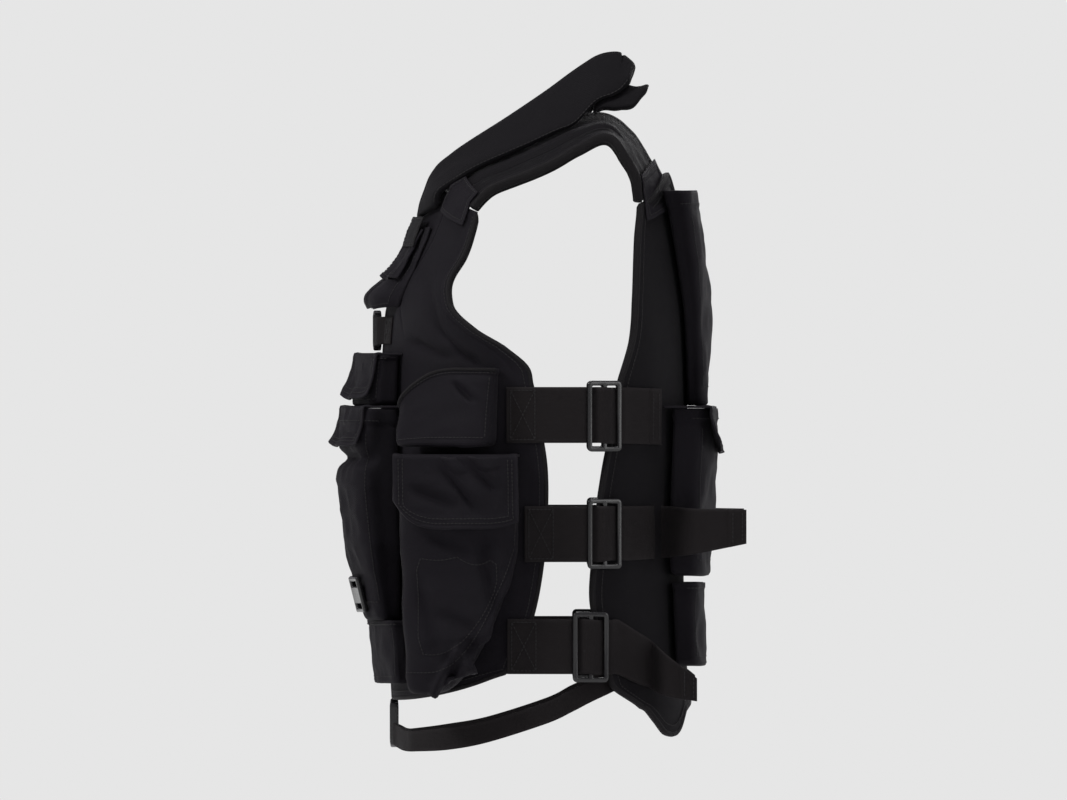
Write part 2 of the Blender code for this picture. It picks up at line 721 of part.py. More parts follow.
def add_slider(name, side, row, collection):
    """A flat plastic frame with a bar up its middle, as a filled outline with two windows."""
    _, _, z, height = row
    curve = bpy.data.curves.new(name, "CURVE")
    curve.dimensions = "2D"
    curve.fill_mode = "BOTH"
    curve.extrude = SLIDER_THICK / 2.0
    half_long = SLIDER_LONG / 2.0
    half_high = height / 2.0
    outline = curve.splines.new("POLY")
    ring = []
    for x_sign, y_sign in ((1, 1), (-1, 1), (-1, -1), (1, -1)):
        pair = [(x_sign * half_long, y_sign * (half_high - SLIDER_CORNER)),
                (x_sign * (half_long - SLIDER_CORNER), y_sign * half_high)]
        ring.extend(pair if x_sign * y_sign > 0 else pair[::-1])
    outline.points.add(len(ring) - 1)
    for corner, (x, up) in zip(outline.points, ring):
        corner.co = (x, up, 0.0, 1.0)
    outline.use_cyclic_u = True
    inside = half_high - SLIDER_RAIL
    rectangle(curve, -half_long + SLIDER_BAR, -inside, -SLIDER_BAR / 2.0, inside)
    rectangle(curve, SLIDER_BAR / 2.0, -inside, half_long - SLIDER_BAR, inside)
    curve.materials.append(bpy.data.materials["black_plastic"])
    item = bpy.data.objects.new(name, curve)
    collection.objects.link(item)
    middle, tangent, normal = slider_frame(row)
    spot = middle + normal * (SLIDER_LIFT + SLIDER_THICK / 2.0)
    item.matrix_world = Matrix((
        (side * tangent.x, 0.0, side * normal.x, side * spot.x),
        (tangent.y, 0.0, normal.y, spot.y),
        (0.0, 1.0, 0.0, z),
        (0.0, 0.0, 0.0, 1.0),
    ))


def add_waist_strap(side_name, side, collection):
    points = []
    for y, top, bottom, lift in WAIST_STRAP:
        upper = on_body(1.0, girth_at_y(y, top), top, lift)
        lower = on_body(1.0, girth_at_y(y, bottom), bottom, lift - WAIST_STRAP_LEAN)
        points.append((upper, lower))
    for x, y, top, bottom in WAIST_FRONT:
        points.append((Vector((x, y, top)), Vector((x, y, bottom))))
    add_strap("waist_strap_" + side_name, side, points, collection)


def add_buckle(name, y, z, length, height, thick, collection):
    """Two plastic halves that meet in the middle of the front, each a bevelled outline."""
    for half_name, side in (("socket", 1.0), ("plug", -1.0)):
        curve = bpy.data.curves.new(name, "CURVE")
        curve.dimensions = "2D"
        curve.fill_mode = "BOTH"
        curve.extrude = thick / 2.0 - BUCKLE_EDGE
        curve.bevel_depth = BUCKLE_EDGE
        curve.bevel_resolution = 1
        upper = [(GAP + BUCKLE_EDGE + share * (length - GAP - 2.0 * BUCKLE_EDGE),
                  width * (height / 2.0 - BUCKLE_EDGE)) for share, width in BUCKLE_SHAPE]
        ring = upper + [(x, -up) for x, up in reversed(upper)]
        outline = curve.splines.new("POLY")
        outline.points.add(len(ring) - 1)
        for corner, (x, up) in zip(outline.points, ring):
            corner.co = (side * x, up, 0.0, 1.0)
        outline.use_cyclic_u = True
        curve.materials.append(bpy.data.materials["black_plastic"])
        item = bpy.data.objects.new(name + "_" + half_name, curve)
        collection.objects.link(item)
        item.matrix_world = Matrix((
            (1.0, 0.0, 0.0, 0.0),
            (0.0, 0.0, -1.0, y),
            (0.0, 1.0, 0.0, z),
            (0.0, 0.0, 0.0, 1.0),
        ))


def add_chest_tab(side_name, side, collection):
    """The short webbing that holds one half of the chest buckle."""
    _, y, z, length, _, _ = BUCKLES[0]

    def point(across, up):
        height = z + (up - 0.5) * CHEST_TAB_HEIGHT
        start = length + GAP
        x = start + (CHEST_TAB_END - start) * across
        on_panel = on_body(1.0, girth_at_x(x, height), height, PANEL + GAP)
        out = y + CHEST_TAB_OUT
        share = min(1.0, (x - start) / CHEST_TAB_RAMP)
        return Vector((side * x, out + (on_panel.y - out) * share, height))

    sheet("chest_tab_" + side_name, "webbing", collection, 6, 1, point, WEBBING, TORSO_CENTRE)


def add_pouch_buckle(side_name, side, pouch, collection):
    """The small buckle that holds the tall pouch shut, low on its face."""
    up = (POUCH_BUCKLE_HEIGHT - pouch.bottom) / pouch.height
    face = pouch_point(pouch, side, 0.0, up, 1.0)
    upward = pouch_point(pouch, side, 0.0, up + POUCH_STEP, 1.0) - face
    sideways = pouch_point(pouch, side, POUCH_STEP, up, 1.0) - face
    normal = side * sideways.cross(upward).normalized()
    builder = bmesh.new()
    width, thick, tall = POUCH_BUCKLE_SIZE
    bmesh.ops.create_cube(builder, size=1.0)
    bmesh.ops.scale(builder, vec=(width, thick, tall), verts=builder.verts[:])
    bmesh.ops.bevel(builder, geom=builder.edges[:], offset=BUCKLE_EDGE, segments=1,
                    affect="EDGES", profile=0.5, material=-1)
    mesh = bpy.data.meshes.new("pouch_buckle")
    builder.to_mesh(mesh)
    builder.free()
    mesh.materials.append(bpy.data.materials["black_plastic"])
    item = bpy.data.objects.new("pouch_buckle_" + side_name, mesh)
    collection.objects.link(item)
    turn = Vector((0.0, -1.0, 0.0)).rotation_difference(normal)
    item.rotation_mode = "QUATERNION"
    item.rotation_quaternion = turn
    item.location = face + normal * (thick / 2.0 + 2.0 * GAP)


def main():
    clear_scene()
    collection = make_collection()
    make_materials()
    pouches = {pouch.name: pouch for pouch in SIDE_POUCHES + BACK_POUCHES}
    add_back_panel(collection)
    for pouch in BACK_POUCHES:
        add_pouch(pouch.name, pouch, 1.0, collection, BACK_POUCH_AROUND)
    for side_name, side in SIDES:
        add_front_panel(side_name, side, collection)
        add_shoulder_strap(side_name, side, collection)
        add_shoulder_pad(side_name, side, collection)
        add_chest_flaps(side_name, side, collection)
        add_chest_tab(side_name, side, collection)
        add_waist_strap(side_name, side, collection)
        for pouch in SIDE_POUCHES:
            add_pouch(pouch.name + "_" + side_name, pouch, side, collection, POUCH_AROUND)
        add_pouch_buckle(side_name, side, pouches["tall_pouch"], collection)
        for slider, (name, sewn, behind, free) in zip(SLIDERS, SIDE_STRAPS):
            points = side_strap_points(slider, sewn, behind, free)
            add_strap(name + "_" + side_name, side, points, collection)
            add_slider(slider[0] + "_" + side_name, side, slider, collection)
    for flap in FLAPS:
        pouch = pouches[flap.pouch]
        if pouch in BACK_POUCHES:
            add_flap(flap.name, flap, pouch, 1.0, collection)
            continue
        for side_name, side in SIDES:
            add_flap(flap.name + "_" + side_name, flap, pouch, side, collection)
    for name, y, z, length, height, thick in BUCKLES:
        add_buckle(name, y, z, length, height, thick, collection)


main()
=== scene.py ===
"""The looks of a load-carrying vest of black nylon cloth, held in the form it has when worn.

Metres, +Z up. The vest faces -Y and its left side is +X. Each soft piece is one fine grid of cloth
that is bent to the form of its solid, with its own folds, seams, edges and rows of stitches.
"""
import math
from collections import namedtuple

import bmesh
import bpy
import numpy as np
from mathutils import Matrix, Vector


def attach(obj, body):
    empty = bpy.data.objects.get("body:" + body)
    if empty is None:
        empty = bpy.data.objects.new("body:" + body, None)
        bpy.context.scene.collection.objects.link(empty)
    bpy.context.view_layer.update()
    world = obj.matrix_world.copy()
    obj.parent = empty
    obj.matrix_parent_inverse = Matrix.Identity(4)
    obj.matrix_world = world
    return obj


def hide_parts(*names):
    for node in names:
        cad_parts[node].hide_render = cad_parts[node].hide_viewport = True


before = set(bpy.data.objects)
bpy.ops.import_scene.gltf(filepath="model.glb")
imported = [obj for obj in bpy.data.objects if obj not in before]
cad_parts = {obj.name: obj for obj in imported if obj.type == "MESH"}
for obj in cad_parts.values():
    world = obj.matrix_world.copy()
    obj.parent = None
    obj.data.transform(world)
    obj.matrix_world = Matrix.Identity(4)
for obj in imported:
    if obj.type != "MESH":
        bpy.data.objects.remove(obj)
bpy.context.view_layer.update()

SIDES = (("left", 1.0), ("right", -1.0))

# The form under the vest: rounded sections round the Z axis
SECTION_POWER = 2.4
BODY = (
    # height, half width, front y, back y
    (-0.560, 0.167, -0.186, 0.078),
    (-0.450, 0.165, -0.191, 0.071),
    (-0.350, 0.167, -0.195, 0.069),
    (-0.250, 0.171, -0.198, 0.072),
    (-0.150, 0.168, -0.194, 0.073),
    (-0.104, 0.165, -0.177, 0.069),
    (-0.060, 0.161, -0.161, 0.064),
    (-0.020, 0.152, -0.142, 0.057),
    (0.020, 0.140, -0.124, 0.046),
)
GIRTH_HEIGHT = -0.300
GIRTH_STEPS = 240

# Cloth and webbing
CLOTH = 0.002
PANEL = 0.0035
BACK_PAD = 0.004
WEBBING = 0.0016
GAP = 0.0004

# Front panels
FRONT_EDGE = (
    # height, y of the side edge, from the hem up round the armhole
    (-0.482, -0.093), (-0.476, -0.0865), (-0.429, -0.066), (-0.376, -0.056), (-0.295, -0.053),
    (-0.219, -0.065), (-0.201, -0.070), (-0.182, -0.092), (-0.170, -0.113), (-0.151, -0.134),
    (-0.137, -0.139), (-0.121, -0.137), (-0.100, -0.125), (-0.079, -0.118), (-0.060, -0.114),
)
NECKLINE = (
    # height, x of the inner edge
    (-0.150, 0.003), (-0.125, 0.004), (-0.105, 0.028), (-0.085, 0.046), (-0.032, 0.064),
)
FRONT_HEM = -0.5015
FRONT_HEM_RISE = 0.0235
FRONT_TOP_INNER = -0.032
FRONT_TOP_OUTER = -0.060

# Back panel
BACK_EDGE = (
    # height, y of the side edge, from the hem up to the shoulder
    (-0.511, 0.034), (-0.491, 0.007), (-0.424, -0.010), (-0.382, -0.010), (-0.318, -0.004),
    (-0.278, 0.003), (-0.213, 0.014), (-0.177, 0.024), (-0.133, 0.027), (-0.080, 0.029),
    (-0.053, 0.031),
)
BACK_TOP = ((0.00, -0.046), (0.25, -0.042), (0.46, -0.026), (1.00, -0.054))
BACK_HEM = ((0.00, -0.506), (0.40, -0.512), (0.62, -0.532), (0.78, -0.533), (0.90, -0.520),
            (1.00, -0.509))

# Shoulder straps and the pads that stand up from them
STRAP_THICK = 0.007
STRAP = (
    # outer x, y, z, inner x, y, z
    (0.1375, -0.1145, -0.0580, 0.0660, -0.1350, -0.0290),
    (0.1430, -0.1000, -0.0440, 0.0670, -0.1100, -0.0170),
    (0.1460, -0.0790, -0.0350, 0.0680, -0.0880, -0.0060),
    (0.1480, -0.0440, -0.0200, 0.0690, -0.0520, 0.0100),
    (0.1480, -0.0205, -0.0065, 0.0690, -0.0260, 0.0215),
    (0.1470, 0.0020, 0.0030, 0.0670, 0.0005, 0.0240),
    (0.1440, 0.0150, -0.0125, 0.0640, 0.0205, 0.0100),
    (0.1390, 0.0235, -0.0280, 0.0600, 0.0350, -0.0120),
    (0.1260, 0.0265, -0.0485, 0.0570, 0.0470, -0.0340),
)
STRAP_BOW = ((0.0, 0.0075), (1.0, 0.003), (2.0, 0.000))
ROW_REACH = 0.1
LAP_LIFT = 0.0022
LAP_ON_PANEL = 0.0008
LAP_THICK = 0.0012
LAP_START = 0.02
FRONT_LAP = {"wide": 0.50, "down": 0.013, "middle": 0.03, "end": 0.60}
REAR_LAP = {"wide": 0.96, "height": -0.068, "rise": 0.018, "middle": 0.05, "end": 0.90}
PAD_THICK = 0.008
PAD_FRONT = (
    # lower x, z, upper x, z, lift off the front panel
    (0.098, -0.054, 0.056, -0.066, 0.0057),
    (0.098, -0.043, 0.057, -0.047, 0.0095),
)
PAD_ON_STRAP = (
    # strap row, share across the strap, upper x, y, z
    (0.4, 0.55, 0.057, -0.1515, -0.0240),
    (1.0, 0.58, 0.059, -0.1370, -0.0110),
    (1.6, 0.60, 0.061, -0.1205, 0.0008),
    (2.6, 0.62, 0.062, -0.0852, 0.0235),
    (3.4, 0.62, 0.062, -0.0520, 0.0465),
    (4.1, 0.62, 0.060, -0.0247, 0.0675),
)
PAD_FREE = (
    # lower x, y, z, upper x, y, z, behind the strap's top
    (0.098, -0.0050, 0.0380, 0.058, -0.0042, 0.0805),
    (0.097, 0.0090, 0.0440, 0.058, 0.0105, 0.0840),
    (0.095, 0.0180, 0.0500, 0.060, 0.0195, 0.0812),
    (0.092, 0.0240, 0.0580, 0.070, 0.0295, 0.0712),
)
TONGUE_THICK = 0.005
TONGUE_START = 0.70
TONGUE_REACH = 0.0165
TONGUE = (
    # share of its length, lower edge, upper edge, as shares across the pad
    (0.00, -0.02, 0.38), (0.50, -0.21, 0.36), (0.80, -0.38, 0.14), (1.00, -0.34, 0.04),
)

# Flaps on the chest: rows of height, inner x, outer x, lift, lift of the outer edge
CHEST_FLAPS = (
    ("chest_flap_upper", (
        (-0.076, 0.036, 0.086, 0.0082, 0.0078), (-0.092, 0.033, 0.083, 0.0090, 0.0084),
        (-0.106, 0.030, 0.081, 0.0112, 0.0096), (-0.121, 0.027, 0.079, 0.0175, 0.0120),
    )),
    ("chest_flap_lower", (
        (-0.074, 0.034, 0.096, 0.0044, 0.0042), (-0.092, 0.030, 0.094, 0.0050, 0.0042),
        (-0.108, 0.023, 0.090, 0.0072, 0.0042), (-0.122, 0.016, 0.086, 0.0138, 0.0042),
        (-0.136, 0.012, 0.084, 0.0235, 0.0042), (-0.145, 0.012, 0.083, 0.0180, 0.0042),
    )),
)
CHEST_FLAP_TURN = 6
HOOK_TAPE_CORNER = (0.040, -0.091)
HOOK_TAPE_SIZE = (0.044, 0.027)
HOOK_TAPE_LIFT = 0.0119
HOOK_TAPE_THICK = 0.0014

# Pouches: place of the middle round the body, then sizes
POUCH_POWER = 5.0
POUCH_CLEAR = 0.0010
BACK_CLEAR = 0.0014
TALL_POUCH_BELLY = 0.0105
Pouch = namedtuple("Pouch", "name girth facing bottom width height low high bow dip rise narrow")
SIDE_POUCHES = (
    Pouch("chest_pouch", 0.062, 14.0, -0.233, 0.082, 0.043, 0.026, 0.022, 0.003, 0.0, 0.0, 0.0),
    Pouch("tall_pouch", 0.064, 14.0, -0.428, 0.086, 0.190, 0.022, 0.035, 0.004, 0.0, 0.0, 0.34),
    Pouch("low_front_pouch", 0.060, 14.0, -0.486, 0.086, 0.055, 0.012, 0.016, 0.002, 0.0, 0.0, 0.0),
    Pouch("side_pocket", 0.172, 66.0, -0.270, 0.090, 0.068, 0.034, 0.020, 0.004, 0.5, 0.0, 0.0),
    Pouch("side_pouch", 0.178, 86.0, -0.494, 0.109, 0.212, 0.036, 0.040, 0.006, 0.0, 0.055, 0.0),
)
RISE_START = -0.55
MOUTH_PEAK = 0.35
MOUTH_CURVE = 2.5
BACK_POUCHES = (
    Pouch("upper_back_pocket", 0.494, 180.0, -0.233, 0.224, 0.193, 0.016, 0.016, 0.004, 0.0, 0.0, 0.50),
    Pouch("back_pouch", 0.494, 180.0, -0.388, 0.222, 0.150, 0.020, 0.023, 0.006, 0.0, 0.0, 0.0),
    Pouch("low_back_pouch", 0.494, 180.0, -0.470, 0.206, 0.073, 0.015, 0.015, 0.004, 0.0, 0.0, 0.0),
)
NARROWING_STARTS = {"upper_back_pocket": 1.0, "tall_pouch": 0.35}
POUCH_SAG = 0.0024
TALL_POUCH_PINCH = 0.0090
FLAP_HOLLOWS = {"chest_pouch": 0.0022, "tall_pouch": 0.0034, "back_pouch": 0.0020}
POUCH_LOOKS = {
    # name: columns, rows, bulge of the face, depth of its wrinkles, size of its wrinkles
    "chest_pouch": (110, 44, 0.001, 0.0022, 0.028),
    "tall_pouch": (130, 100, 0.002, 0.0042, 0.040),
    "low_front_pouch": (100, 40, 0.001, 0.0020, 0.032),
    "side_pocket": (130, 70, 0.002, 0.0024, 0.032),
    "side_pouch": (180, 150, 0.003, 0.0044, 0.052),
    "upper_back_pocket": (180, 90, 0.002, 0.0036, 0.056),
    "back_pouch": (180, 80, 0.003, 0.0040, 0.052),
    "low_back_pouch": (160, 50, 0.001, 0.0026, 0.040),
}
POUCH_RING = (
    # share of the way from the middle of the bottom to the mouth, share outwards, share up
    (0.0, 0.0, 0.0), (0.16, 0.90, 0.0), (0.19, 0.97, 0.016), (0.22, 1.0, 0.06), (1.0, 1.0, 1.0),
)
POUCH_SEAMS = (
    # turn and share up of both ends
    ((0.105, 0.24), (0.105, 0.90)), ((0.395, 0.24), (0.395, 0.90)), ((0.11, 0.235), (0.39, 0.235)),
)
SIDE_POUCH_SEAM = (
    # place across the side pouch, share up
    (0.60, 0.27), (0.66, 0.30), (0.65, 0.40), (0.56, 0.465), (0.0, 0.615), (-0.62, 0.64),
    (-0.70, 0.60), (-0.70, 0.36), (-0.62, 0.30), (0.60, 0.27),
)
PIPING_HALF = 0.0017
FLAP_THICK = 0.0022
FLAP_CLEAR = 0.0009
FLAP_ON_MOUTH = 0.0002
FLAP_TURN = 0.4
FLAP_SPREAD = 1.03
Flap = namedtuple("Flap", "name pouch length stand front_rise rear_rise")
SIDE_FLAPS = (
    # length down the front, how far the lower edge stands off, rise of its front and rear corner
    Flap("chest_pouch_flap", "chest_pouch", 0.041, 0.004, 0.10, 0.10),
    Flap("tall_pouch_flap", "tall_pouch", 0.036, 0.003, 0.10, 0.10),
    Flap("side_pouch_flap", "side_pouch", 0.066, 0.006, 0.34, 0.10),
)
BACK_FLAP = Flap("back_pouch_flap", "back_pouch", 0.042, 0.005, 0.20, 0.20)

# Side straps: rows of y, top and bottom on the front and on the back panel, then x, y, top, bottom
SIDE_STRAPS = (
    ("side_strap_1",
     ((-0.088, -0.2186, -0.2694), (-0.056, -0.2186, -0.2694)),
     ((0.022, -0.2190, -0.2700), (0.034, -0.2195, -0.2705), (0.046, -0.2200, -0.2710)),
     ()),
    ("side_strap_2",
     ((-0.072, -0.3266, -0.3774), (-0.054, -0.3266, -0.3774)),
     ((0.020, -0.3266, -0.3760), (0.035, -0.3266, -0.3750), (0.050, -0.3266, -0.3740)),
     ((0.140, 0.084, -0.3290, -0.3700), (0.134, 0.129, -0.3300, -0.3610))),
    ("side_strap_3",
     ((-0.087, -0.4290, -0.4790), (-0.060, -0.4290, -0.4790)),
     ((0.010, -0.4300, -0.4795), (0.025, -0.4400, -0.4870), (0.040, -0.4500, -0.4930)),
     ((0.146, 0.060, -0.4640, -0.5000), (0.142, 0.084, -0.4830, -0.5040))),
)
STRAP_CLEAR = 0.0010
SLIDERS = (
    # name, y, z, height
    ("slider_1", -0.0030, -0.2450, 0.0645),
    ("slider_2", -0.0030, -0.3518, 0.0640),
    ("slider_3", -0.0145, -0.4545, 0.0640),
)
SLIDER_LONG = 0.034
SLIDER_BAR = 0.0045
SLIDER_THICK = 0.0034
SLIDER_LIFT = 0.0070

# Waist strap, buckles and the small buckle of the tall pouch
WAIST_STRAP = (
    # y, top, bottom, lift
    (0.024, -0.468, -0.488, -0.0034), (0.008, -0.476, -0.496, -0.0034),
    (-0.012, -0.485, -0.505, -0.0030), (-0.030, -0.493, -0.514, -0.0015),
    (-0.052, -0.504, -0.524, 0.0), (-0.105, -0.521, -0.541, 0.001),
    (-0.140, -0.5275, -0.5480, 0.002), (-0.168, -0.5310, -0.5500, 0.003),
)
WAIST_FRONT = (
    # x, y, top, bottom
    (0.080, -0.1790, -0.5310, -0.5500), (0.052, -0.1848, -0.5280, -0.5480),
    (0.0272, -0.1901, -0.5250, -0.5450),
)
BUCKLES = (
    # name, y, z, length of one half, height, thickness
    ("chest_buckle", -0.2065, -0.1670, 0.023, 0.037, 0.011),
    ("waist_buckle", -0.1910, -0.5250, 0.026, 0.045, 0.011),
)
CHEST_TAB_HEIGHT = 0.025
CHEST_TAB_END = 0.070
CHEST_TAB_LEAN = 0.012
BUCKLE_BAR = 0.72
BUCKLE_HALVES = (
    # name, side, lines along it as shares of its length, windows, thinner by, outline
    ("socket", 1.0, (0.30, 0.62, 0.76, 0.90, 1.0), ((1, 0), (1, 2), (3, 1)), 0.002,
     ((0.0, 0.86), (0.3, 1.0), (0.7, 1.0), (1.0, 0.84))),
    ("plug", -1.0, (0.18, 0.45, 0.62, 0.78, 1.0), ((3, 1),), 0.003,
     ((0.0, 0.84), (0.4, 0.98), (0.7, 0.96), (1.0, 0.82))),
)
POUCH_BUCKLE_SIZE = (0.028, 0.009, 0.033)
POUCH_BUCKLE_HEIGHT = -0.406

# Folds that run over several pieces of a side: y, z, y, z, half width, depth
SIDE_FOLDS = (
    (-0.152, -0.285, -0.118, -0.328, 0.0045, -0.0056),
    (-0.133, -0.278, -0.101, -0.311, 0.0040, -0.0050),
    (-0.174, -0.311, -0.135, -0.327, 0.0055, -0.0040),
    (-0.133, -0.457, -0.155, -0.496, 0.0034, 0.0066),
    (-0.133, -0.457, -0.118, -0.481, 0.0034, 0.0060),
    (-0.140, -0.463, -0.137, -0.492, 0.0060, -0.0062),
    (-0.124, -0.448, -0.100, -0.466, 0.0060, -0.0048),
    (-0.134, -0.216, -0.119, -0.231, 0.0026, -0.0040),
    (-0.158, -0.352, -0.120, -0.372, 0.0060, -0.0036),
    (-0.112, -0.356, -0.098, -0.420, 0.0060, -0.0046),
    (-0.166, -0.400, -0.150, -0.462, 0.0060, -0.0040),
    (-0.150, -0.425, -0.118, -0.440, 0.0060, -0.0034),
    (-0.170, -0.176, -0.138, -0.193, 0.0055, -0.0066),
    (-0.146, -0.168, -0.116, -0.200, 0.0055, -0.0056),
    (-0.116, -0.189, -0.113, -0.262, 0.0045, -0.0044),
    (-0.160, -0.120, -0.146, -0.170, 0.0060, -0.0044),
    (-0.128, -0.190, -0.082, -0.214, 0.0055, -0.0040),
)
FOLDS_ON_PANEL = 5
POUCH_FOLDS = SIDE_FOLDS[:-FOLDS_ON_PANEL]
PANEL_FOLDS = SIDE_FOLDS[-FOLDS_ON_PANEL:]
FLAP_FOLDS = SIDE_FOLDS[:3]
SOFT_FOLDS = {
    # name: depth and size of the small wrinkles, number of their pattern, stretch along x, y, z
    "front_panel": (0.0012, 0.060, 3, (1.0, 1.0, 0.6)),
    "back_panel": (0.0010, 0.070, 9, (1.0, 1.0, 0.5)),
    "shoulder_strap": (0.0009, 0.030, 21, (1.0, 1.0, 1.0)),
    "shoulder_lap": (0.0007, 0.020, 71, (1.0, 1.0, 1.0)),
    "shoulder_pad": (0.0013, 0.045, 31, (1.0, 0.6, 0.6)),
    "shoulder_pad_tongue": (0.0008, 0.030, 37, (1.0, 1.0, 1.0)),
    "chest_flap": (0.0010, 0.020, 41, (1.0, 1.0, 1.0)),
    "chest_hook_tape": (0.0006, 0.012, 73, (1.0, 1.0, 1.0)),
    "pouch_flap": (0.0012, 0.026, 51, (1.0, 1.0, 1.0)),
}
HEM_RAISE = 0.0008
HEM_GROOVE = 0.0005
STITCH_LONG = 0.0026
STITCH_STEP = 0.0036
STITCH_WIDE = 0.0008
STITCH_LIFT = 0.00015
TAPE_OVER = 0.0009

# The camera stands far off the wearer's left side, level with the vest's middle
CAMERA_SPOT = (24.165, -0.0639, -0.2304)
CAMERA_LENS = 892.8
LIGHT_TARGET = (0.0, -0.06, -0.23)
PAPER = 0.791
FLOOR_HEIGHT = -1.0
FLOOR_RADIUS = 60.0
FLOOR_FADE = (1.2, 3.0)

LIGHTS = (
    # name, spot, size, power
    ("key_light", (1.3, -2.4, 1.9), 0.9, 58.0),
    ("fill_light", (1.6, 2.4, 0.4), 1.6, 14.0),
    ("top_light", (0.7, 0.3, 2.2), 0.9, 19.0),
    ("far_light", (-2.4, 0.4, 0.8), 1.6, 18.0),
)

# Looks
CLOTH_LOOKS = (
    # name, dark, light, worn colour, pitch, rib, bump distance, roughness, sheen, specular
    ("body_nylon", (0.0046, 0.0036, 0.0058), (0.0100, 0.0082, 0.0122), (0.018, 0.016, 0.020),
     0.0009, 1.0, 0.00024, 0.64, 0.02, 0.14),
    ("padded_nylon", (0.0040, 0.0035, 0.0045), (0.0086, 0.0076, 0.0094), (0.017, 0.015, 0.017),
     0.0008, 1.0, 0.00022, 0.64, 0.02, 0.10),
    ("strap_webbing", (0.0064, 0.0048, 0.0052), (0.0124, 0.0096, 0.0104), (0.021, 0.018, 0.019),
     0.0012, 1.8, 0.00035, 0.64, 0.02, 0.17),
    ("binding_tape", (0.0058, 0.0050, 0.0058), (0.0112, 0.0100, 0.0112), (0.021, 0.019, 0.021),
     0.0007, 2.0, 0.00020, 0.58, 0.02, 0.17),
    ("sewing_thread", (0.0120, 0.0112, 0.0120), (0.0200, 0.0190, 0.0200), (0.026, 0.025, 0.026),
     0.0005, 2.0, 0.00010, 0.52, 0.02, 0.22),
    ("hook_tape", (0.0110, 0.0108, 0.0118), (0.0230, 0.0226, 0.0240), (0.030, 0.029, 0.030),
     0.0014, 1.0, 0.00040, 0.80, 0.02, 0.10),
)
PLASTIC_COLOURS = ((0.0060, 0.0060, 0.0066), (0.0120, 0.0120, 0.0128))
PLASTIC_BUMP = 0.00008
LINT_COLOUR = (0.05, 0.05, 0.055)
LINT_SPACING = 90.0
LINT_SIZE = 0.05
PAPER_COLOUR = (PAPER, PAPER, PAPER)
FLOOR_COLOUR = (0.80, 0.80, 0.80)
ROOM_COLOUR = (0.27, 0.26, 0.28)

# Points inside the vest that its pieces face away from
TORSO_CENTRE = (0.0, -0.06, -0.25)
CHEST_CENTRE = (0.0, -0.06, -0.20)
TAB_CENTRE = (0.0, -0.06, -0.16)
SIDE_STRAP_CENTRE = (0.0, -0.06, -0.35)
WAIST_CENTRE = (0.0, -0.06, -0.52)
SHOULDER_CENTRE = (0.02, -0.03, -0.10)
PAD_CENTRE = (0.078, -0.06, 0.0)
TONGUE_CENTRE = (0.075, 0.0, 0.06)
UPRIGHT = (0.0, 0.0, 1.0)


def smooth_step(low, high, values):
    share = np.clip((values - low) / (high - low), 0.0, 1.0)
    return share * share * (3.0 - 2.0 * share)


def bump(values, middle, half):
    """A soft bump of height 1 with this middle and half width."""
    return np.exp(-((values - middle) / half) ** 2)


def unit(vectors):
    """Vectors of the same directions and of length 1."""
    return vectors / np.linalg.norm(vectors, axis=-1)[..., None].clip(1e-9)


def rounded_reach(angle, power):
    """How far a rounded square reaches at an angle, where its sides reach 1."""
    return (np.abs(np.cos(angle)) ** power + np.abs(np.sin(angle)) ** power) ** (-1.0 / power)


def runs_along(points):
    """Length of a line up to each of its points."""
    return np.concatenate([[0.0], np.cumsum(np.linalg.norm(np.diff(points, axis=0), axis=1))])


def sample(places, runs, rows):
    """Rows of values at places along a line."""
    return np.stack([np.interp(places, runs, column) for column in rows.T], axis=1)


def along(rows, places):
    """Smooth rows of a table at fractional row numbers."""
    table = np.array(rows, dtype=float)
    last = len(rows) - 1
    places = np.clip(np.asarray(places, dtype=float), 0.0, last)
    index = np.minimum(places.astype(int), last - 1)
    part = (places - index)[..., None]
    start = table[index]
    end = table[index + 1]
    slope_in = (end - table[np.maximum(index - 1, 0)]) / 2.0
    slope_out = (table[np.minimum(index + 2, last)] - start) / 2.0
    squared = part * part
    cubed = squared * part
    return ((2 * cubed - 3 * squared + 1) * start + (cubed - 2 * squared + part) * slope_in
            + (3 * squared - 2 * cubed) * end + (cubed - squared) * slope_out)


def between(rows, values, column=1):
    """One column of a table at values of its first column, joined smoothly."""
    ordered = sorted(rows)
    places = np.interp(values, [row[0] for row in ordered], range(len(ordered)))
    return along(ordered, places)[..., column]


BODY_HEIGHTS = np.linspace(-0.575, 0.020, 596)
BODY_SIZES = np.stack([between(BODY, BODY_HEIGHTS, column) for column in (1, 2, 3)])


def body_section(height):
    """Half width, middle y and half depth of the form at heights."""
    half_width, front, back = (np.interp(height, BODY_HEIGHTS, sizes) for sizes in BODY_SIZES)
    return half_width, (front + back) / 2.0, (back - front) / 2.0


def make_girth_table():
    """Lengths round the form from the middle of the front, with the turn at each."""
    half_width, _, half_depth = body_section(GIRTH_HEIGHT)
    turns = np.linspace(0.0, math.pi, GIRTH_STEPS + 1)
    across = half_width * np.sin(turns).clip(0.0) ** (2.0 / SECTION_POWER)
    cosines = np.cos(turns)
    deep = half_depth * np.sign(cosines) * np.abs(cosines) ** (2.0 / SECTION_POWER)
    steps = np.hypot(np.diff(across), np.diff(deep))
    return turns, np.concatenate([[0.0], np.cumsum(steps)])


TURNS, GIRTHS = make_girth_table()
BACK_GIRTH = float(GIRTHS[-1])


def girth_at_y(y, height):
    _, middle, half_depth = body_section(height)
    share = np.clip((middle - y) / half_depth, -1.0, 1.0)
    cosine = np.copysign(np.abs(share) ** (SECTION_POWER / 2.0), share)
    return np.interp(np.arccos(cosine), TURNS, GIRTHS)


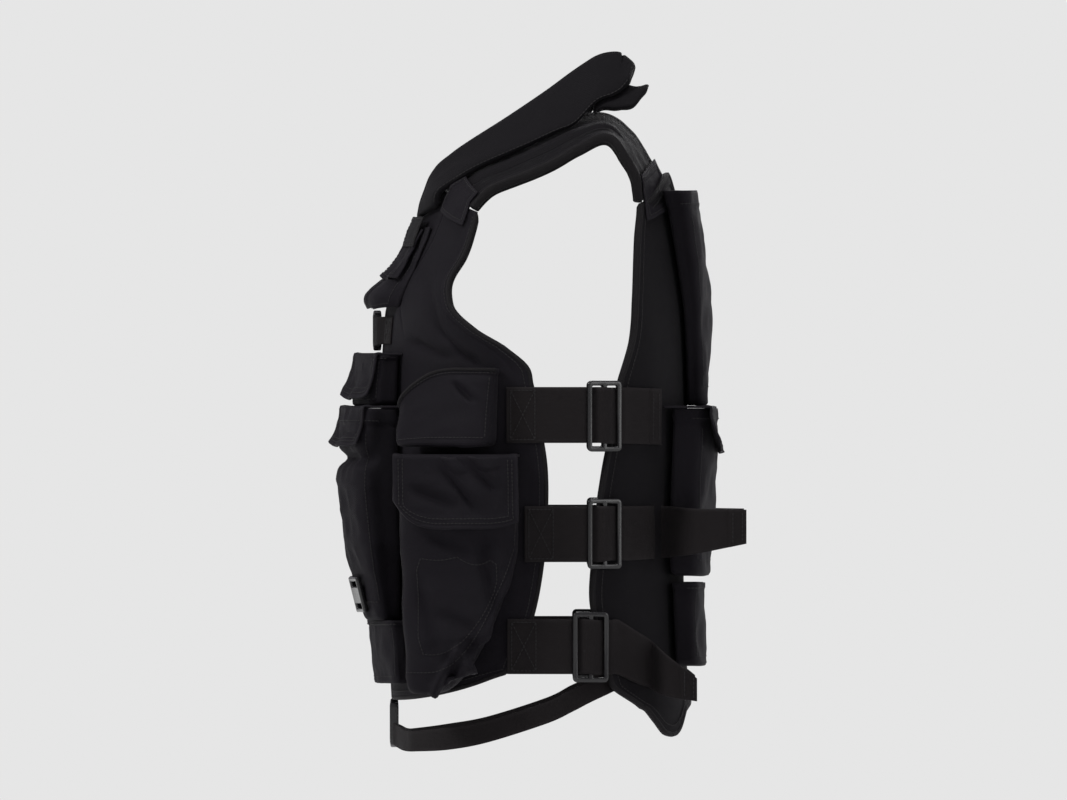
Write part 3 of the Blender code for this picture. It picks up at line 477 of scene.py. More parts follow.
def girth_at_x(x, height):
    half_width, _, _ = body_section(height)
    share = np.clip(x / half_width, 0.0, 1.0)
    return np.interp(np.arcsin(share ** (SECTION_POWER / 2.0)), TURNS, GIRTHS)


def on_body(side, girth, height, lift):
    """Points over the form, a lift away from it. A girth past either middle crosses over."""
    girth, height, lift = np.broadcast_arrays(girth, height, lift)
    side = side * np.where((girth < 0.0) | (girth > BACK_GIRTH), -1.0, 1.0)
    girth = np.abs(girth)
    girth = np.where(girth > BACK_GIRTH, 2.0 * BACK_GIRTH - girth, girth)
    turn = np.interp(girth, GIRTHS, TURNS)
    half_width, middle, half_depth = body_section(height)
    across = np.sin(turn).clip(0.0) ** (2.0 / SECTION_POWER)
    cosine = np.cos(turn)
    deep = -np.copysign(np.abs(cosine) ** (2.0 / SECTION_POWER), cosine)
    normal_x = across ** (SECTION_POWER - 1.0) / half_width
    normal_y = np.copysign(np.abs(deep) ** (SECTION_POWER - 1.0), deep) / half_depth
    size = np.hypot(normal_x, normal_y)
    x = half_width * across + lift * normal_x / size
    y = middle + half_depth * deep + lift * normal_y / size
    return np.stack([side * x, y, height + np.zeros_like(x)], axis=-1)


def to_side(points, side):
    return points * np.array((side, 1.0, 1.0))


def lattice(points, scale, seed):
    """Smooth noise from -1 to 1 with lumps of a size, the same in every run."""
    spots = points / scale + seed * 17.31
    cell = np.floor(spots).astype(np.int64)
    part = spots - cell
    part = part * part * (3.0 - 2.0 * part)
    total = np.zeros(len(points))
    for corner in range(8):
        step = np.array((corner & 1, corner >> 1 & 1, corner >> 2 & 1))
        key = ((cell + step) * np.array((73856093, 19349663, 83492791))).sum(axis=1)
        value = ((key * 2654435761 + seed * 97) % 100003) / 50001.5 - 1.0
        weight = np.where(step, part, 1.0 - part).prod(axis=1)
        total += weight * value
    return total


def wrinkles(points, scale, seed, stretch=(1.0, 1.0, 1.0)):
    """Sharp-backed folds, as cloth makes: ridges where smooth noise crosses zero."""
    spots = points * np.array(stretch)
    broad = 1.0 - 2.0 * np.abs(lattice(spots, scale, seed))
    fine = 1.0 - 2.0 * np.abs(lattice(spots, scale * 0.45, seed + 5))
    return 0.7 * broad + 0.3 * fine


def soft_folds(name, spots):
    """The small wrinkles of a kind of piece, in metres."""
    depth, size, seed, stretch = SOFT_FOLDS[name]
    return depth * wrinkles(spots, size, seed, stretch)


def fold_lines(spots, lines):
    """Folds along lines given by y and z: a crease with a soft ridge beside it."""
    total = np.zeros(len(spots))
    for start_y, start_z, end_y, end_z, half, depth in lines:
        line = np.array((end_y - start_y, end_z - start_z))
        size = np.hypot(*line)
        off = spots[:, 1:] - np.array((start_y, start_z))
        share = off @ line / size ** 2
        beside = (off[:, 0] * line[1] - off[:, 1] * line[0]) / size
        taper = smooth_step(-0.25, 0.2, share) * (1.0 - smooth_step(0.8, 1.25, share))
        total += depth * taper * (bump(beside, 0.0, half) - 0.5 * bump(beside, -2.2 * half, 1.5 * half))
    return total


Cloth = namedtuple("Cloth", "item spots normals thick sizes")


def set_spots(builder, spots):
    for vertex, spot in zip(builder.verts, spots):
        vertex.co = spot


def line_length(points):
    return float(np.linalg.norm(np.diff(points, axis=0), axis=1).sum())


def link_item(name, data):
    """An object of this data in the scene."""
    item = bpy.data.objects.new(name, data)
    bpy.context.scene.collection.objects.link(item)
    return item


def make_item(name, material, builder):
    """An object from a finished bmesh."""
    mesh = bpy.data.meshes.new(name)
    builder.to_mesh(mesh)
    builder.free()
    mesh.shade_smooth()
    mesh.materials.append(bpy.data.materials[material])
    return link_item(name, mesh)


def turn_outwards(item, fill_ends=False):
    """Turns the faces of a closed form outwards, its flat ends filled first if wanted."""
    builder = bmesh.new()
    builder.from_mesh(item.data)
    border = [edge for edge in builder.edges if edge.is_boundary]
    if fill_ends and border:
        bmesh.ops.holes_fill(builder, edges=border, sides=0)
    bmesh.ops.recalc_face_normals(builder, faces=builder.faces[:])
    builder.to_mesh(item.data)
    builder.free()


def make_cloth(name, material, columns, rows, shape, thick, centre, relief=None, grows_out=True,
               closed=False):
    """A grid of cloth: shape gives its points from two shares, relief its folds in metres."""
    builder = bmesh.new()
    bmesh.ops.create_grid(builder, x_segments=columns, y_segments=rows, size=0.5)
    flat = np.array([vertex.co[:2] for vertex in builder.verts]) + 0.5
    order = np.lexsort((flat[:, 0], flat[:, 1]))
    across, up = flat[:, 0], flat[:, 1]
    spots = shape(across, up)
    set_spots(builder, spots)
    builder.normal_update()
    lean = sum((face.calc_center_median() - Vector(centre)).dot(face.normal) * face.calc_area()
               for face in builder.faces)
    if lean < 0.0:
        bmesh.ops.reverse_faces(builder, faces=builder.faces[:])
        builder.normal_update()
    normals = np.array([vertex.normal[:] for vertex in builder.verts])
    if closed:
        first, last = order.reshape(rows + 1, columns + 1)[:, [0, -1]].T
        normals[first] = unit(normals[first] + normals[last])
        normals[last] = normals[first]
    if relief is not None:
        spots = spots + normals * relief(across, up, spots)[:, None]
        set_spots(builder, spots)
        builder.normal_update()
        normals = np.array([vertex.normal[:] for vertex in builder.verts])
    grid = spots[order].reshape(rows + 1, columns + 1, 3)
    wide = line_length(grid[rows // 2])
    long = line_length(grid[:, columns // 2])
    layer = builder.loops.layers.uv.new("cloth")
    edge = builder.verts.layers.float.new("edge_distance")
    places = {vertex: (a * wide, b * long) for vertex, a, b in zip(builder.verts, across, up)}
    for face in builder.faces:
        for loop in face.loops:
            loop[layer].uv = places[loop.vert]
    for vertex, a, b in zip(builder.verts, across, up):
        beside = 1.0 if closed else min(a, 1.0 - a) * wide
        vertex[edge] = min(beside, (1.0 - b) * long, 1.0 if closed else b * long)
    if closed:
        bmesh.ops.remove_doubles(builder, verts=builder.verts[:], dist=0.00002)
    item = make_item(name, material, builder)
    if thick:
        solid = item.modifiers.new("thickness", "SOLIDIFY")
        solid.thickness = thick
        solid.offset = 1.0 if grows_out else -1.0
    out = thick if grows_out else 0.0
    normal_grid = normals[order].reshape(rows + 1, columns + 1, 3)
    return Cloth(item, grid, normal_grid, out, (wide, long))


def settle(piece, slot, *nodes):
    """Lets a finished piece ride on the vest, and stand for its solids."""
    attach(piece, "root")
    if nodes:
        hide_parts(*nodes)


def on_cloth(cloth, across, up, lift=0.0):
    """Points and normals on the outer face of a made cloth at shares."""
    rows, columns = cloth.spots.shape[:2]
    x = np.clip(np.asarray(across, dtype=float), 0.0, 1.0) * (columns - 1)
    y = np.clip(np.asarray(up, dtype=float), 0.0, 1.0) * (rows - 1)
    left = np.minimum(x.astype(int), columns - 2)
    low = np.minimum(y.astype(int), rows - 2)
    part_x = (x - left)[:, None]
    part_y = (y - low)[:, None]

    def blend(grid):
        bottom = grid[low, left] * (1 - part_x) + grid[low, left + 1] * part_x
        top = grid[low + 1, left] * (1 - part_x) + grid[low + 1, left + 1] * part_x
        return bottom * (1 - part_y) + top * part_y

    normals = unit(blend(cloth.normals))
    return blend(cloth.spots) + normals * (cloth.thick + lift), normals


def spread(points, normals, step):
    """Points a step apart along a line, with their normals and directions."""
    runs = runs_along(points)
    count = max(int(runs[-1] / step), 1)
    places = (np.arange(count) + 0.5) * runs[-1] / count
    near = 0.0005
    heading = unit(sample(places + near, runs, points) - sample(places - near, runs, points))
    return sample(places, runs, points), sample(places, runs, normals), heading


def share_line(*corners, steps=60):
    """Shares along a broken line through corners."""
    pieces = [np.linspace(start, end, steps) for start, end in zip(corners, corners[1:])]
    line = np.concatenate(pieces)
    return line[:, 0], line[:, 1]


class Seams:
    """Rows of stitches, gathered while the pieces are made and joined into one mesh."""

    def __init__(self):
        self.spots = []
        self.facing = []
        self.heading = []

    def sew(self, cloth, *corners):
        across, up = share_line(*corners)
        points, normals = on_cloth(cloth, across, up, STITCH_LIFT)
        for store, values in zip((self.spots, self.facing, self.heading),
                                 spread(points, normals, STITCH_STEP)):
            store.append(values)

    def sew_box(self, cloth, left, low, right, high, crossed=False):
        self.sew(cloth, (left, low), (right, low), (right, high), (left, high), (left, low))
        if crossed:
            self.sew(cloth, (left, low), (right, high))
            self.sew(cloth, (right, low), (left, high))

    def build(self, name):
        builder = bmesh.new()
        bmesh.ops.create_cube(builder, size=1.0)
        bmesh.ops.scale(builder, vec=(STITCH_LONG, STITCH_WIDE, STITCH_WIDE * 0.7),
                        verts=builder.verts[:])
        ends = [edge for edge in builder.edges
                if edge.verts[0].co.x * edge.verts[1].co.x > 0.0]
        bmesh.ops.bevel(builder, geom=ends, offset=STITCH_WIDE * 0.3, segments=1, affect="EDGES",
                        profile=0.5, material=-1)
        builder.verts.index_update()
        shape = np.array([vertex.co[:] for vertex in builder.verts])
        faces = [[vertex.index for vertex in face.verts] for face in builder.faces]
        builder.free()
        spots = np.concatenate(self.spots)
        heading = np.concatenate(self.heading)
        facing = np.concatenate(self.facing)
        beside = unit(np.cross(facing, heading))
        upward = np.cross(heading, beside)
        points = (spots[:, None] + shape[None, :, 0, None] * heading[:, None]
                  + shape[None, :, 1, None] * beside[:, None]
                  + shape[None, :, 2, None] * upward[:, None]).reshape(-1, 3)
        every = [[corner + number * len(shape) for corner in face]
                 for number in range(len(spots)) for face in faces]
        mesh = bpy.data.meshes.new(name)
        mesh.from_pydata(points.tolist(), [], every)
        mesh.shade_smooth()
        mesh.materials.append(bpy.data.materials["sewing_thread"])
        settle(link_item(name, mesh), "nylon_cloth")


def make_roll(name, material, points, normals, half_wide, half_high, around, power=2.0):
    """A round or flat roll of cloth along a line, such as piping or an edge tape."""
    heading = unit(np.gradient(points, axis=0))
    beside = unit(np.cross(normals, heading))
    upward = np.cross(heading, beside)
    count = len(points) - 1

    def shape(across, up):
        index = np.round(up * count).astype(int)
        angle = 2.0 * math.pi * across
        ends = np.minimum(index, count - index)
        size = np.where(ends == 0, 0.02, np.where(ends == 1, 0.75, 1.0))
        size = size * rounded_reach(angle, power)
        return (points[index] + beside[index] * (np.cos(angle) * half_wide * size)[:, None]
                + upward[index] * (np.sin(angle) * half_high * size)[:, None])

    middle = points.mean(axis=0)
    cloth = make_cloth(name, material, around, count, shape, 0.0, middle, closed=True)
    turn_outwards(cloth.item)
    settle(cloth.item, "nylon_cloth")


def add_edge_tape(name, cloth, thick, half_wide, over, around, corners, steps):
    """Tape folded round an edge of a padded piece, along corners given as shares."""
    points, normals = on_cloth(cloth, *share_line(*corners, steps=steps))
    make_roll(name, "binding_tape", points - normals * thick * 0.5, normals, half_wide,
              thick * 0.5 + over, around, 3.0)


def panel_hem(across, up, wide, long, band=0.010):
    """A turned hem near the edges: a raised band with a sewn groove along its inner edge."""
    edge = np.minimum(np.minimum(across, 1.0 - across) * wide, np.minimum(up, 1.0 - up) * long)
    inner = band * 0.8
    return HEM_RAISE * (1.0 - smooth_step(inner, band, edge)) - HEM_GROOVE * bump(edge, inner, 0.0014)


def add_front_panel(side_name, side, seams):
    def shape(across, up):
        hem = FRONT_HEM + FRONT_HEM_RISE * across ** 4
        top = FRONT_TOP_INNER + (FRONT_TOP_OUTER - FRONT_TOP_INNER) * across
        height = hem + (top - hem) * up
        inner = girth_at_x(between(NECKLINE, height), height)
        outer = girth_at_y(between(FRONT_EDGE, np.minimum(height, FRONT_TOP_OUTER)), height)
        return on_body(side, inner + (outer - inner) * across, height, 0.0)

    def relief(across, up, spots):
        lumps = soft_folds("front_panel", spots) * smooth_step(0.0, 0.05, across)
        covered = 1.0 - smooth_step(-0.21, -0.18, spots[:, 2])
        seam = 0.0012 * bump(across, 0.52, 0.012) * smooth_step(0.70, 0.78, up)
        return (panel_hem(across, up, 0.18, 0.45) + lumps * (1.0 - 0.8 * covered)
                + 0.7 * np.minimum(fold_lines(spots, PANEL_FOLDS), 0.0) * (1.0 - covered) - seam)

    name = "front_panel_" + side_name
    cloth = make_cloth(name, "body_nylon", 90, 170, shape, PANEL, TORSO_CENTRE, relief)
    settle(cloth.item, "nylon_cloth", name)
    inset, low = (0.006 / size for size in cloth.sizes)
    seams.sew(cloth, (1 - inset, 1 - low), (1 - inset, low), (inset, low), (inset, 1 - low))
    add_edge_tape("edge_tape_" + side_name, cloth, PANEL, 0.0022, TAPE_OVER, 8,
                  ((1.0, 1.0), (1.0, 0.0), (0.0, 0.0), (0.0, 1.0)), 120)


def add_back_panel(seams):
    def shape(across, up):
        side = np.where(across >= 0.5, 1.0, -1.0)
        share = np.abs(2.0 * across - 1.0)
        hem = between(BACK_HEM, share)
        top = between(BACK_TOP, share)
        height = hem + (top - hem) * up
        edge = girth_at_y(between(BACK_EDGE, height), height)
        return on_body(side, BACK_GIRTH + (edge - BACK_GIRTH) * share, height, 0.0)

    def relief(across, up, spots):
        open_part = smooth_step(0.72, 0.85, np.abs(2.0 * across - 1.0))
        return panel_hem(across, up, 0.36, 0.47) + soft_folds("back_panel", spots) * open_part

    cloth = make_cloth("back_panel", "padded_nylon", 150, 150, shape, BACK_PAD, TORSO_CENTRE,
                       relief)
    settle(cloth.item, "padded_cloth", "back_panel")
    inset, low = (0.007 / size for size in cloth.sizes)
    seams.sew(cloth, (inset, low), (inset, 1 - low), (1 - inset, 1 - low), (1 - inset, low),
              (inset, low))
    add_edge_tape("back_edge_tape", cloth, BACK_PAD, 0.0024, TAPE_OVER, 8,
                  ((0.0, 0.0), (0.0, 1.0), (1.0, 1.0), (1.0, 0.0), (0.0, 0.0)), 140)


def strap_point(side, row, across, lift):
    """Points over a shoulder strap: row along it, share from its outer to its inner edge."""
    row, across, lift = np.broadcast_arrays(row, across, lift)
    spot = along(STRAP, row)
    outer, inner = spot[..., :3], spot[..., 3:]
    ahead = along(STRAP, np.minimum(row + ROW_REACH, len(STRAP) - 1.0))
    behind = along(STRAP, np.maximum(row - ROW_REACH, 0.0))
    run = (ahead - behind)[..., :3] + (ahead - behind)[..., 3:]
    normal = unit(np.cross(run, outer - inner))
    down = (normal[..., 2] < 0.0) & (normal[..., 0] < 0.0)
    normal = np.where(down[..., None], -normal, normal)
    point = outer + (inner - outer) * across[..., None] + normal * lift[..., None]
    point[..., 1] -= between(STRAP_BOW, row) * 4.0 * across * (1.0 - across)
    return to_side(point, side)


def padded_shape(point, thick, power, cap=0.03):
    """Closed padded form: a rounded section between an inner and an outer face."""
    def shape(turn, run):
        angle = 2.0 * math.pi * turn
        reach = rounded_reach(angle, power)
        near = np.minimum(run, 1.0 - run) / cap
        size = np.where(near < 1.0, np.sqrt(1.0 - (1.0 - np.clip(near, 0.0, 1.0)) ** 2), 1.0)
        across = 0.5 + 0.5 * np.cos(angle) * reach * (0.86 + 0.14 * size)
        lift = thick * (0.5 + 0.5 * np.sin(angle) * reach * size)
        return point(across, run, lift)
    return shape


def add_shoulder_strap(side_name, side, seams):
    last = len(STRAP) - 1.0

    def shape(across, run):
        return strap_point(side, run * last, across, 0.0)

    def relief(across, run, spots):
        binding = 0.0012 * (1.0 - smooth_step(0.07, 0.09, across)) - 0.0008 * bump(across, 0.10, 0.012)
        ridge = 0.0010 * bump(across, 0.27, 0.018) - 0.0016 * bump(across, 0.33, 0.030)
        middle = smooth_step(0.04, 0.12, run) * (1.0 - smooth_step(0.62, 0.72, run))
        band = 0.0024 * smooth_step(0.36, 0.40, across) * (1.0 - smooth_step(0.50, 0.55, across))
        return binding + (ridge + band) * middle + soft_folds("shoulder_strap", spots)

    name = "shoulder_strap_" + side_name
    cloth = make_cloth(name, "padded_nylon", 60, 170, shape, STRAP_THICK,
                       to_side(np.array(SHOULDER_CENTRE), side), relief)
    settle(cloth.item, "padded_cloth", name)
    for across, start, end in ((0.085, 0.02, 0.98), (0.33, 0.06, 0.66), (0.93, 0.02, 0.98)):
        seams.sew(cloth, (across, start), (across, end))
    add_edge_tape("shoulder_tape_" + side_name, cloth, STRAP_THICK, 0.0020, 0.0006, 10,
                  ((0.0, 0.0), (0.0, 1.0)), 160)


def add_shoulder_laps(side_name, side, seams):
    """Cloth laps sewn over the joins of a shoulder strap with the front and the back panel."""
    last = len(STRAP) - 1.0
    high = STRAP_THICK + LAP_LIFT

    def bent(lower, middle, upper, run):
        first = np.clip(2.0 * run, 0.0, 1.0)[:, None]
        second = np.clip(2.0 * run - 1.0, 0.0, 1.0)[:, None]
        return lower + (middle - lower) * first + (upper - middle) * second

    def front(across, run):
        place = LAP_START + FRONT_LAP["wide"] * across
        x = strap_point(1.0, 0.0, place, 0.0)[:, 0]
        top = FRONT_TOP_INNER + (FRONT_TOP_OUTER - FRONT_TOP_INNER) * (1.0 - place)
        height = top - FRONT_LAP["down"]
        lower = on_body(side, girth_at_x(x, height), height, PANEL + LAP_ON_PANEL)
        return bent(lower, strap_point(side, FRONT_LAP["middle"], place, high),
                    strap_point(side, FRONT_LAP["end"], place, high), run)

    def rear(across, run):
        place = LAP_START + REAR_LAP["wide"] * across
        x = strap_point(1.0, last, place, 0.0)[:, 0]
        height = REAR_LAP["height"] + REAR_LAP["rise"] * place
        lower = on_body(side, BACK_GIRTH - girth_at_x(x, height), height, BACK_PAD + LAP_ON_PANEL)
        return bent(lower, strap_point(side, last - REAR_LAP["middle"], place, high),
                    strap_point(side, last - REAR_LAP["end"], place, high), run)

    def relief(across, run, spots):
        return panel_hem(across, run, 0.05, 0.03, 0.006) + soft_folds("shoulder_lap", spots)

    for end, shape, panel in (("front", front, "front_panel_" + side_name),
                              ("rear", rear, "back_panel")):
        cloth = make_cloth("shoulder_lap_" + end + "_" + side_name, "body_nylon", 36, 30, shape,
                           LAP_THICK, to_side(np.array(SHOULDER_CENTRE), side), relief)
        settle(cloth.item, "nylon_cloth")
        declare_sheet(cloth, "laid", panel)
        seams.sew_box(cloth, 0.06, 0.08, 0.94, 0.92)


def add_chest_patch(side_name, side, seams):
    """The hook tape high on the chest, on the top of the layered flaps."""
    def shape(across, up):
        x = HOOK_TAPE_CORNER[0] + HOOK_TAPE_SIZE[0] * across
        height = HOOK_TAPE_CORNER[1] + HOOK_TAPE_SIZE[1] * up
        return on_body(side, girth_at_x(x, height), height, HOOK_TAPE_LIFT)

    def relief(across, up, spots):
        return soft_folds("chest_hook_tape", spots)

    cloth = make_cloth("chest_hook_tape_" + side_name, "hook_tape", 44, 30, shape,
                       HOOK_TAPE_THICK, CHEST_CENTRE, relief)
    settle(cloth.item, "nylon_cloth")
    declare_sheet(cloth, "laid", "chest_flap_upper_" + side_name)
    seams.sew_box(cloth, 0.05, 0.08, 0.95, 0.92)


def pad_rows():
    """Lower and upper points of a shoulder pad's outer face from its front to its free end."""
    rows = []
    for lower_x, lower_z, upper_x, upper_z, lift in PAD_FRONT:
        lower = on_body(1.0, girth_at_x(lower_x, lower_z), lower_z, lift)
        upper = on_body(1.0, girth_at_x(upper_x, upper_z), upper_z, lift)
        rows.append((*lower, *upper))
    for row, across, *upper in PAD_ON_STRAP:
        lower = strap_point(1.0, row, across, STRAP_THICK + 2.0 * GAP)
        rows.append((*lower, *upper))
    rows.extend(PAD_FREE)
    return rows


PAD_ROWS = pad_rows()


def pad_point(side, run, across, lift):
    """Points over a shoulder pad's inner face: shares along it and up across it."""
    last = len(PAD_ROWS) - 1.0
    place = run * last
    values = along(PAD_ROWS, place)
    lower, upper = values[..., :3], values[..., 3:]
    ahead = along(PAD_ROWS, np.minimum(place + ROW_REACH, last))
    behind = along(PAD_ROWS, np.maximum(place - ROW_REACH, 0.0))
    step = ahead - behind
    normal = unit(np.cross(step[..., :3] + step[..., 3:], lower - upper))
    normal = np.where((normal[..., 0] < 0.0)[..., None], -normal, normal)
    lift = np.asarray(lift) + np.zeros_like(place)
    point = lower + (upper - lower) * across[..., None] + normal * lift[..., None]
    return to_side(point, side)


def add_shoulder_pad(side_name, side, seams):
    def face(across, run, lift):
        return pad_point(side, run, across, lift)

    def relief(turn, run, spots):
        across = 0.5 + 0.5 * np.cos(2.0 * math.pi * turn)
        outer = smooth_step(0.0, 0.04, turn) * (1.0 - smooth_step(0.46, 0.50, turn))
        seam = -0.0016 * bump(turn, 0.095, 0.006) * outer
        pinch = -0.0030 * bump(run, 0.90, 0.012) * smooth_step(0.5, 1.0, across)
        return seam + soft_folds("shoulder_pad", spots) + pinch

    def make_pad(name, rows, columns, shape, centre, folds):
        cloth = make_cloth(name, "padded_nylon", columns, rows, shape, 0.0,
                           to_side(np.array(centre), side), folds, closed=True)
        turn_outwards(cloth.item, fill_ends=True)
        settle(cloth.item, "padded_cloth", name)
        return cloth

    cloth = make_pad("shoulder_pad_" + side_name, 170, 72, padded_shape(face, PAD_THICK, 3.4),
                     PAD_CENTRE, relief)
    for turn in (0.095, 0.42):
        seams.sew(cloth, (turn, 0.03), (turn, 0.97))

    def tongue(across, run, lift):
        start, end = between(TONGUE, run, 1), between(TONGUE, run, 2)
        place = TONGUE_START + (1.0 - TONGUE_START) * run
        spot = pad_point(side, place, start + (end - start) * across, -GAP - lift)
        return spot + np.stack([0.0 * run, TONGUE_REACH * run ** 2, 0.0 * run], axis=-1)

    def tongue_relief(turn, run, spots):
        return soft_folds("shoulder_pad_tongue", spots)

    make_pad("shoulder_pad_tongue_" + side_name, 60, 48,
             padded_shape(tongue, TONGUE_THICK, 3.0, 0.08), TONGUE_CENTRE, tongue_relief)


def declare_sheet(cloth, held, *rests_on):
    """Measures the length of a sheet's longest column, and does nothing more with it."""
    steps = cloth.spots
    long = max(line_length(column) for column in steps.transpose(1, 0, 2))


def add_chest_flaps(side_name, side, seams):
    for number, (name, rows) in enumerate(CHEST_FLAPS):
        def shape(across, run, rows=rows):
            height, inner, outer, lift, edge_lift = along(rows, run * (len(rows) - 1.0)).T
            x = inner + (outer - inner) * across
            turned = edge_lift + (lift - edge_lift) * (1.0 - across ** CHEST_FLAP_TURN)
            return on_body(side, girth_at_x(x, height), height, turned)

        def relief(across, run, spots, number=number):
            wave = 0.0026 * np.sin(across * 9.0 + number * 2.0) * run ** 1.5
            return panel_hem(across, run, 0.05, 0.05, 0.007) + wave + soft_folds("chest_flap", spots)

        cloth = make_cloth(name + "_" + side_name, "body_nylon", 40, 44, shape, CLOTH,
                           CHEST_CENTRE, relief)
        settle(cloth.item, "nylon_cloth", name + "_" + side_name)
        declare_sheet(cloth, "hung", "front_panel_" + side_name)
        seams.sew(cloth, (0.1, 0.0), (0.1, 0.92), (0.9, 0.92), (0.9, 0.0))


def cut_corner(pouch, across):
    """How far the bottom of a pouch is raised towards its rear corner."""
    return pouch.rise * np.maximum(0.0, across - RISE_START) ** 2


def pouch_point(pouch, side, across, up, out):
    """Points in a pouch: -1 to 1 across it, 0 to 1 up it and 0 to 1 out from the panel."""
    across, up, out = np.broadcast_arrays(across, up, out)
    starts = NARROWING_STARTS.get(pouch.name, 1.0)
    half = pouch.width / 2.0 * (1.0 - pouch.narrow * np.maximum(0.0, starts - up) / starts)
    level = pouch.bottom + up * pouch.height + cut_corner(pouch, across) * (1.0 - up)
    lift = BACK_PAD + BACK_CLEAR if pouch.facing > 90.0 else PANEL + POUCH_CLEAR
    angle = math.radians(pouch.facing)
    normal = np.array((math.sin(angle), -math.cos(angle), 0.0))
    tangent = np.array((math.cos(angle), math.sin(angle), 0.0))
    base = on_body(1.0, pouch.girth + across * half, level, lift)
    depth = pouch.low + (pouch.high - pouch.low) * np.clip(up, 0.0, 1.0)
    if pouch.name == "tall_pouch":
        depth = depth + TALL_POUCH_BELLY * np.sin(math.pi * np.clip(up, 0.0, 1.0))
    middle = on_body(1.0, pouch.girth, level, lift)
    front = (middle + tangent * (across * half)[..., None]
             + normal * (depth - pouch.bow * across * across)[..., None])
    return to_side(base + (front - base) * out[..., None], side)


def add_pouch(name, pouch, side, seams):
    """A cloth pouch: from the middle of its bottom, round a sewn corner, up to its mouth."""
    columns, rows, bulge, depth, size = POUCH_LOOKS[pouch.name]

    def flat(turn, run):
        angle = 2.0 * math.pi * turn
        runs, shares, heights = zip(*POUCH_RING)
        reach = np.interp(run, runs, shares) * rounded_reach(angle, POUCH_POWER)
        up = np.interp(run, runs, heights)
        across = reach * np.cos(angle)
        out = reach * np.sin(angle)
        ahead = np.maximum(0.0, MOUTH_PEAK - across) / (1.0 + MOUTH_PEAK)
        return across, up * (1.0 - pouch.dip * ahead ** MOUTH_CURVE), out

    def shape(turn, run):
        across, up, out = flat(turn, run)
        return pouch_point(pouch, side, across, up, 0.5 + 0.5 * out)

    def relief(turn, run, spots):
        across, up, out = flat(turn, run)
        front = smooth_step(0.0, 0.9, out)
        face = bulge * (1.0 - np.clip(np.abs(across), 0.0, 1.0) ** 2)
        face = face * np.sin(np.clip(up, 0, 1) * math.pi)
        corner = bump(np.abs(across), 0.95, 0.035) * smooth_step(0.80, 0.92, out) * (run > 0.18)
        seam = 0.0013 * corner
        folds = depth * wrinkles(spots, size, 7 + int(abs(pouch.bottom) * 1000) % 13, (1.0, 1.0, 0.7))
        folds = folds * smooth_step(0.12, 0.22, run)
        lines = fold_lines(spots, POUCH_FOLDS) if pouch.name in ("side_pouch", "side_pocket") else 0.0
        mouth = 0.0008 * smooth_step(0.93, 0.95, run) - 0.0005 * bump(run, 0.93, 0.008)
        sag = POUCH_SAG * (1.0 - smooth_step(0.16, 0.22, run))
        pinch = TALL_POUCH_PINCH * bump(up, 0.765, 0.034) if pouch.name == "tall_pouch" else 0.0
        return (face + folds + lines - pinch) * front + seam + mouth + sag

    centre = pouch_point(pouch, side, 0.0, 0.5, 0.5)
    cloth = make_cloth(name, "body_nylon", columns, rows, shape, CLOTH, centre, relief,
                       grows_out=False, closed=True)
    settle(cloth.item, "nylon_cloth", name)
    if pouch.name != "side_pouch":
        seams.sew(cloth, (0.04, 0.95), (0.46, 0.95))
    for start, end in POUCH_SEAMS:
        seams.sew(cloth, start, end)
    if pouch.name == "side_pocket":
        points, normals = on_cloth(cloth, *share_line((0.05, 0.985), (0.45, 0.985), steps=90))
        make_roll(name + "_piping", "binding_tape", points, normals, PIPING_HALF, PIPING_HALF, 8)
    if pouch.name == "side_pouch":
        seams.sew(cloth, *((math.atan2(1.0, across) / (2.0 * math.pi), level)
                           for across, level in SIDE_POUCH_SEAM))


def hanging_share(run):
    """Share down the hanging part of a flap, which starts where it turns over the mouth."""
    return np.clip((run - FLAP_TURN) / (1.0 - FLAP_TURN), 0.0, 1.0)


def flap_point(flap, pouch, side, across, run):
    """Points on a flap: over the mouth first, then from FLAP_TURN on down the front."""
    above = FLAP_ON_MOUTH / pouch.height
    beyond = 1.0 + FLAP_CLEAR / pouch.high
    share = hanging_share(run)
    rise = np.where(across < 0.0, flap.front_rise, flap.rear_rise)
    down = flap.length * (1.0 - rise * across ** 4)
    off = flap.stand / pouch.high * share ** 2
    level = 1.0 + above - share * down / (pouch.height - cut_corner(pouch, across))
    out = np.where(run < FLAP_TURN, run / FLAP_TURN * beyond, beyond + off)
    return pouch_point(pouch, side, across, level, out)


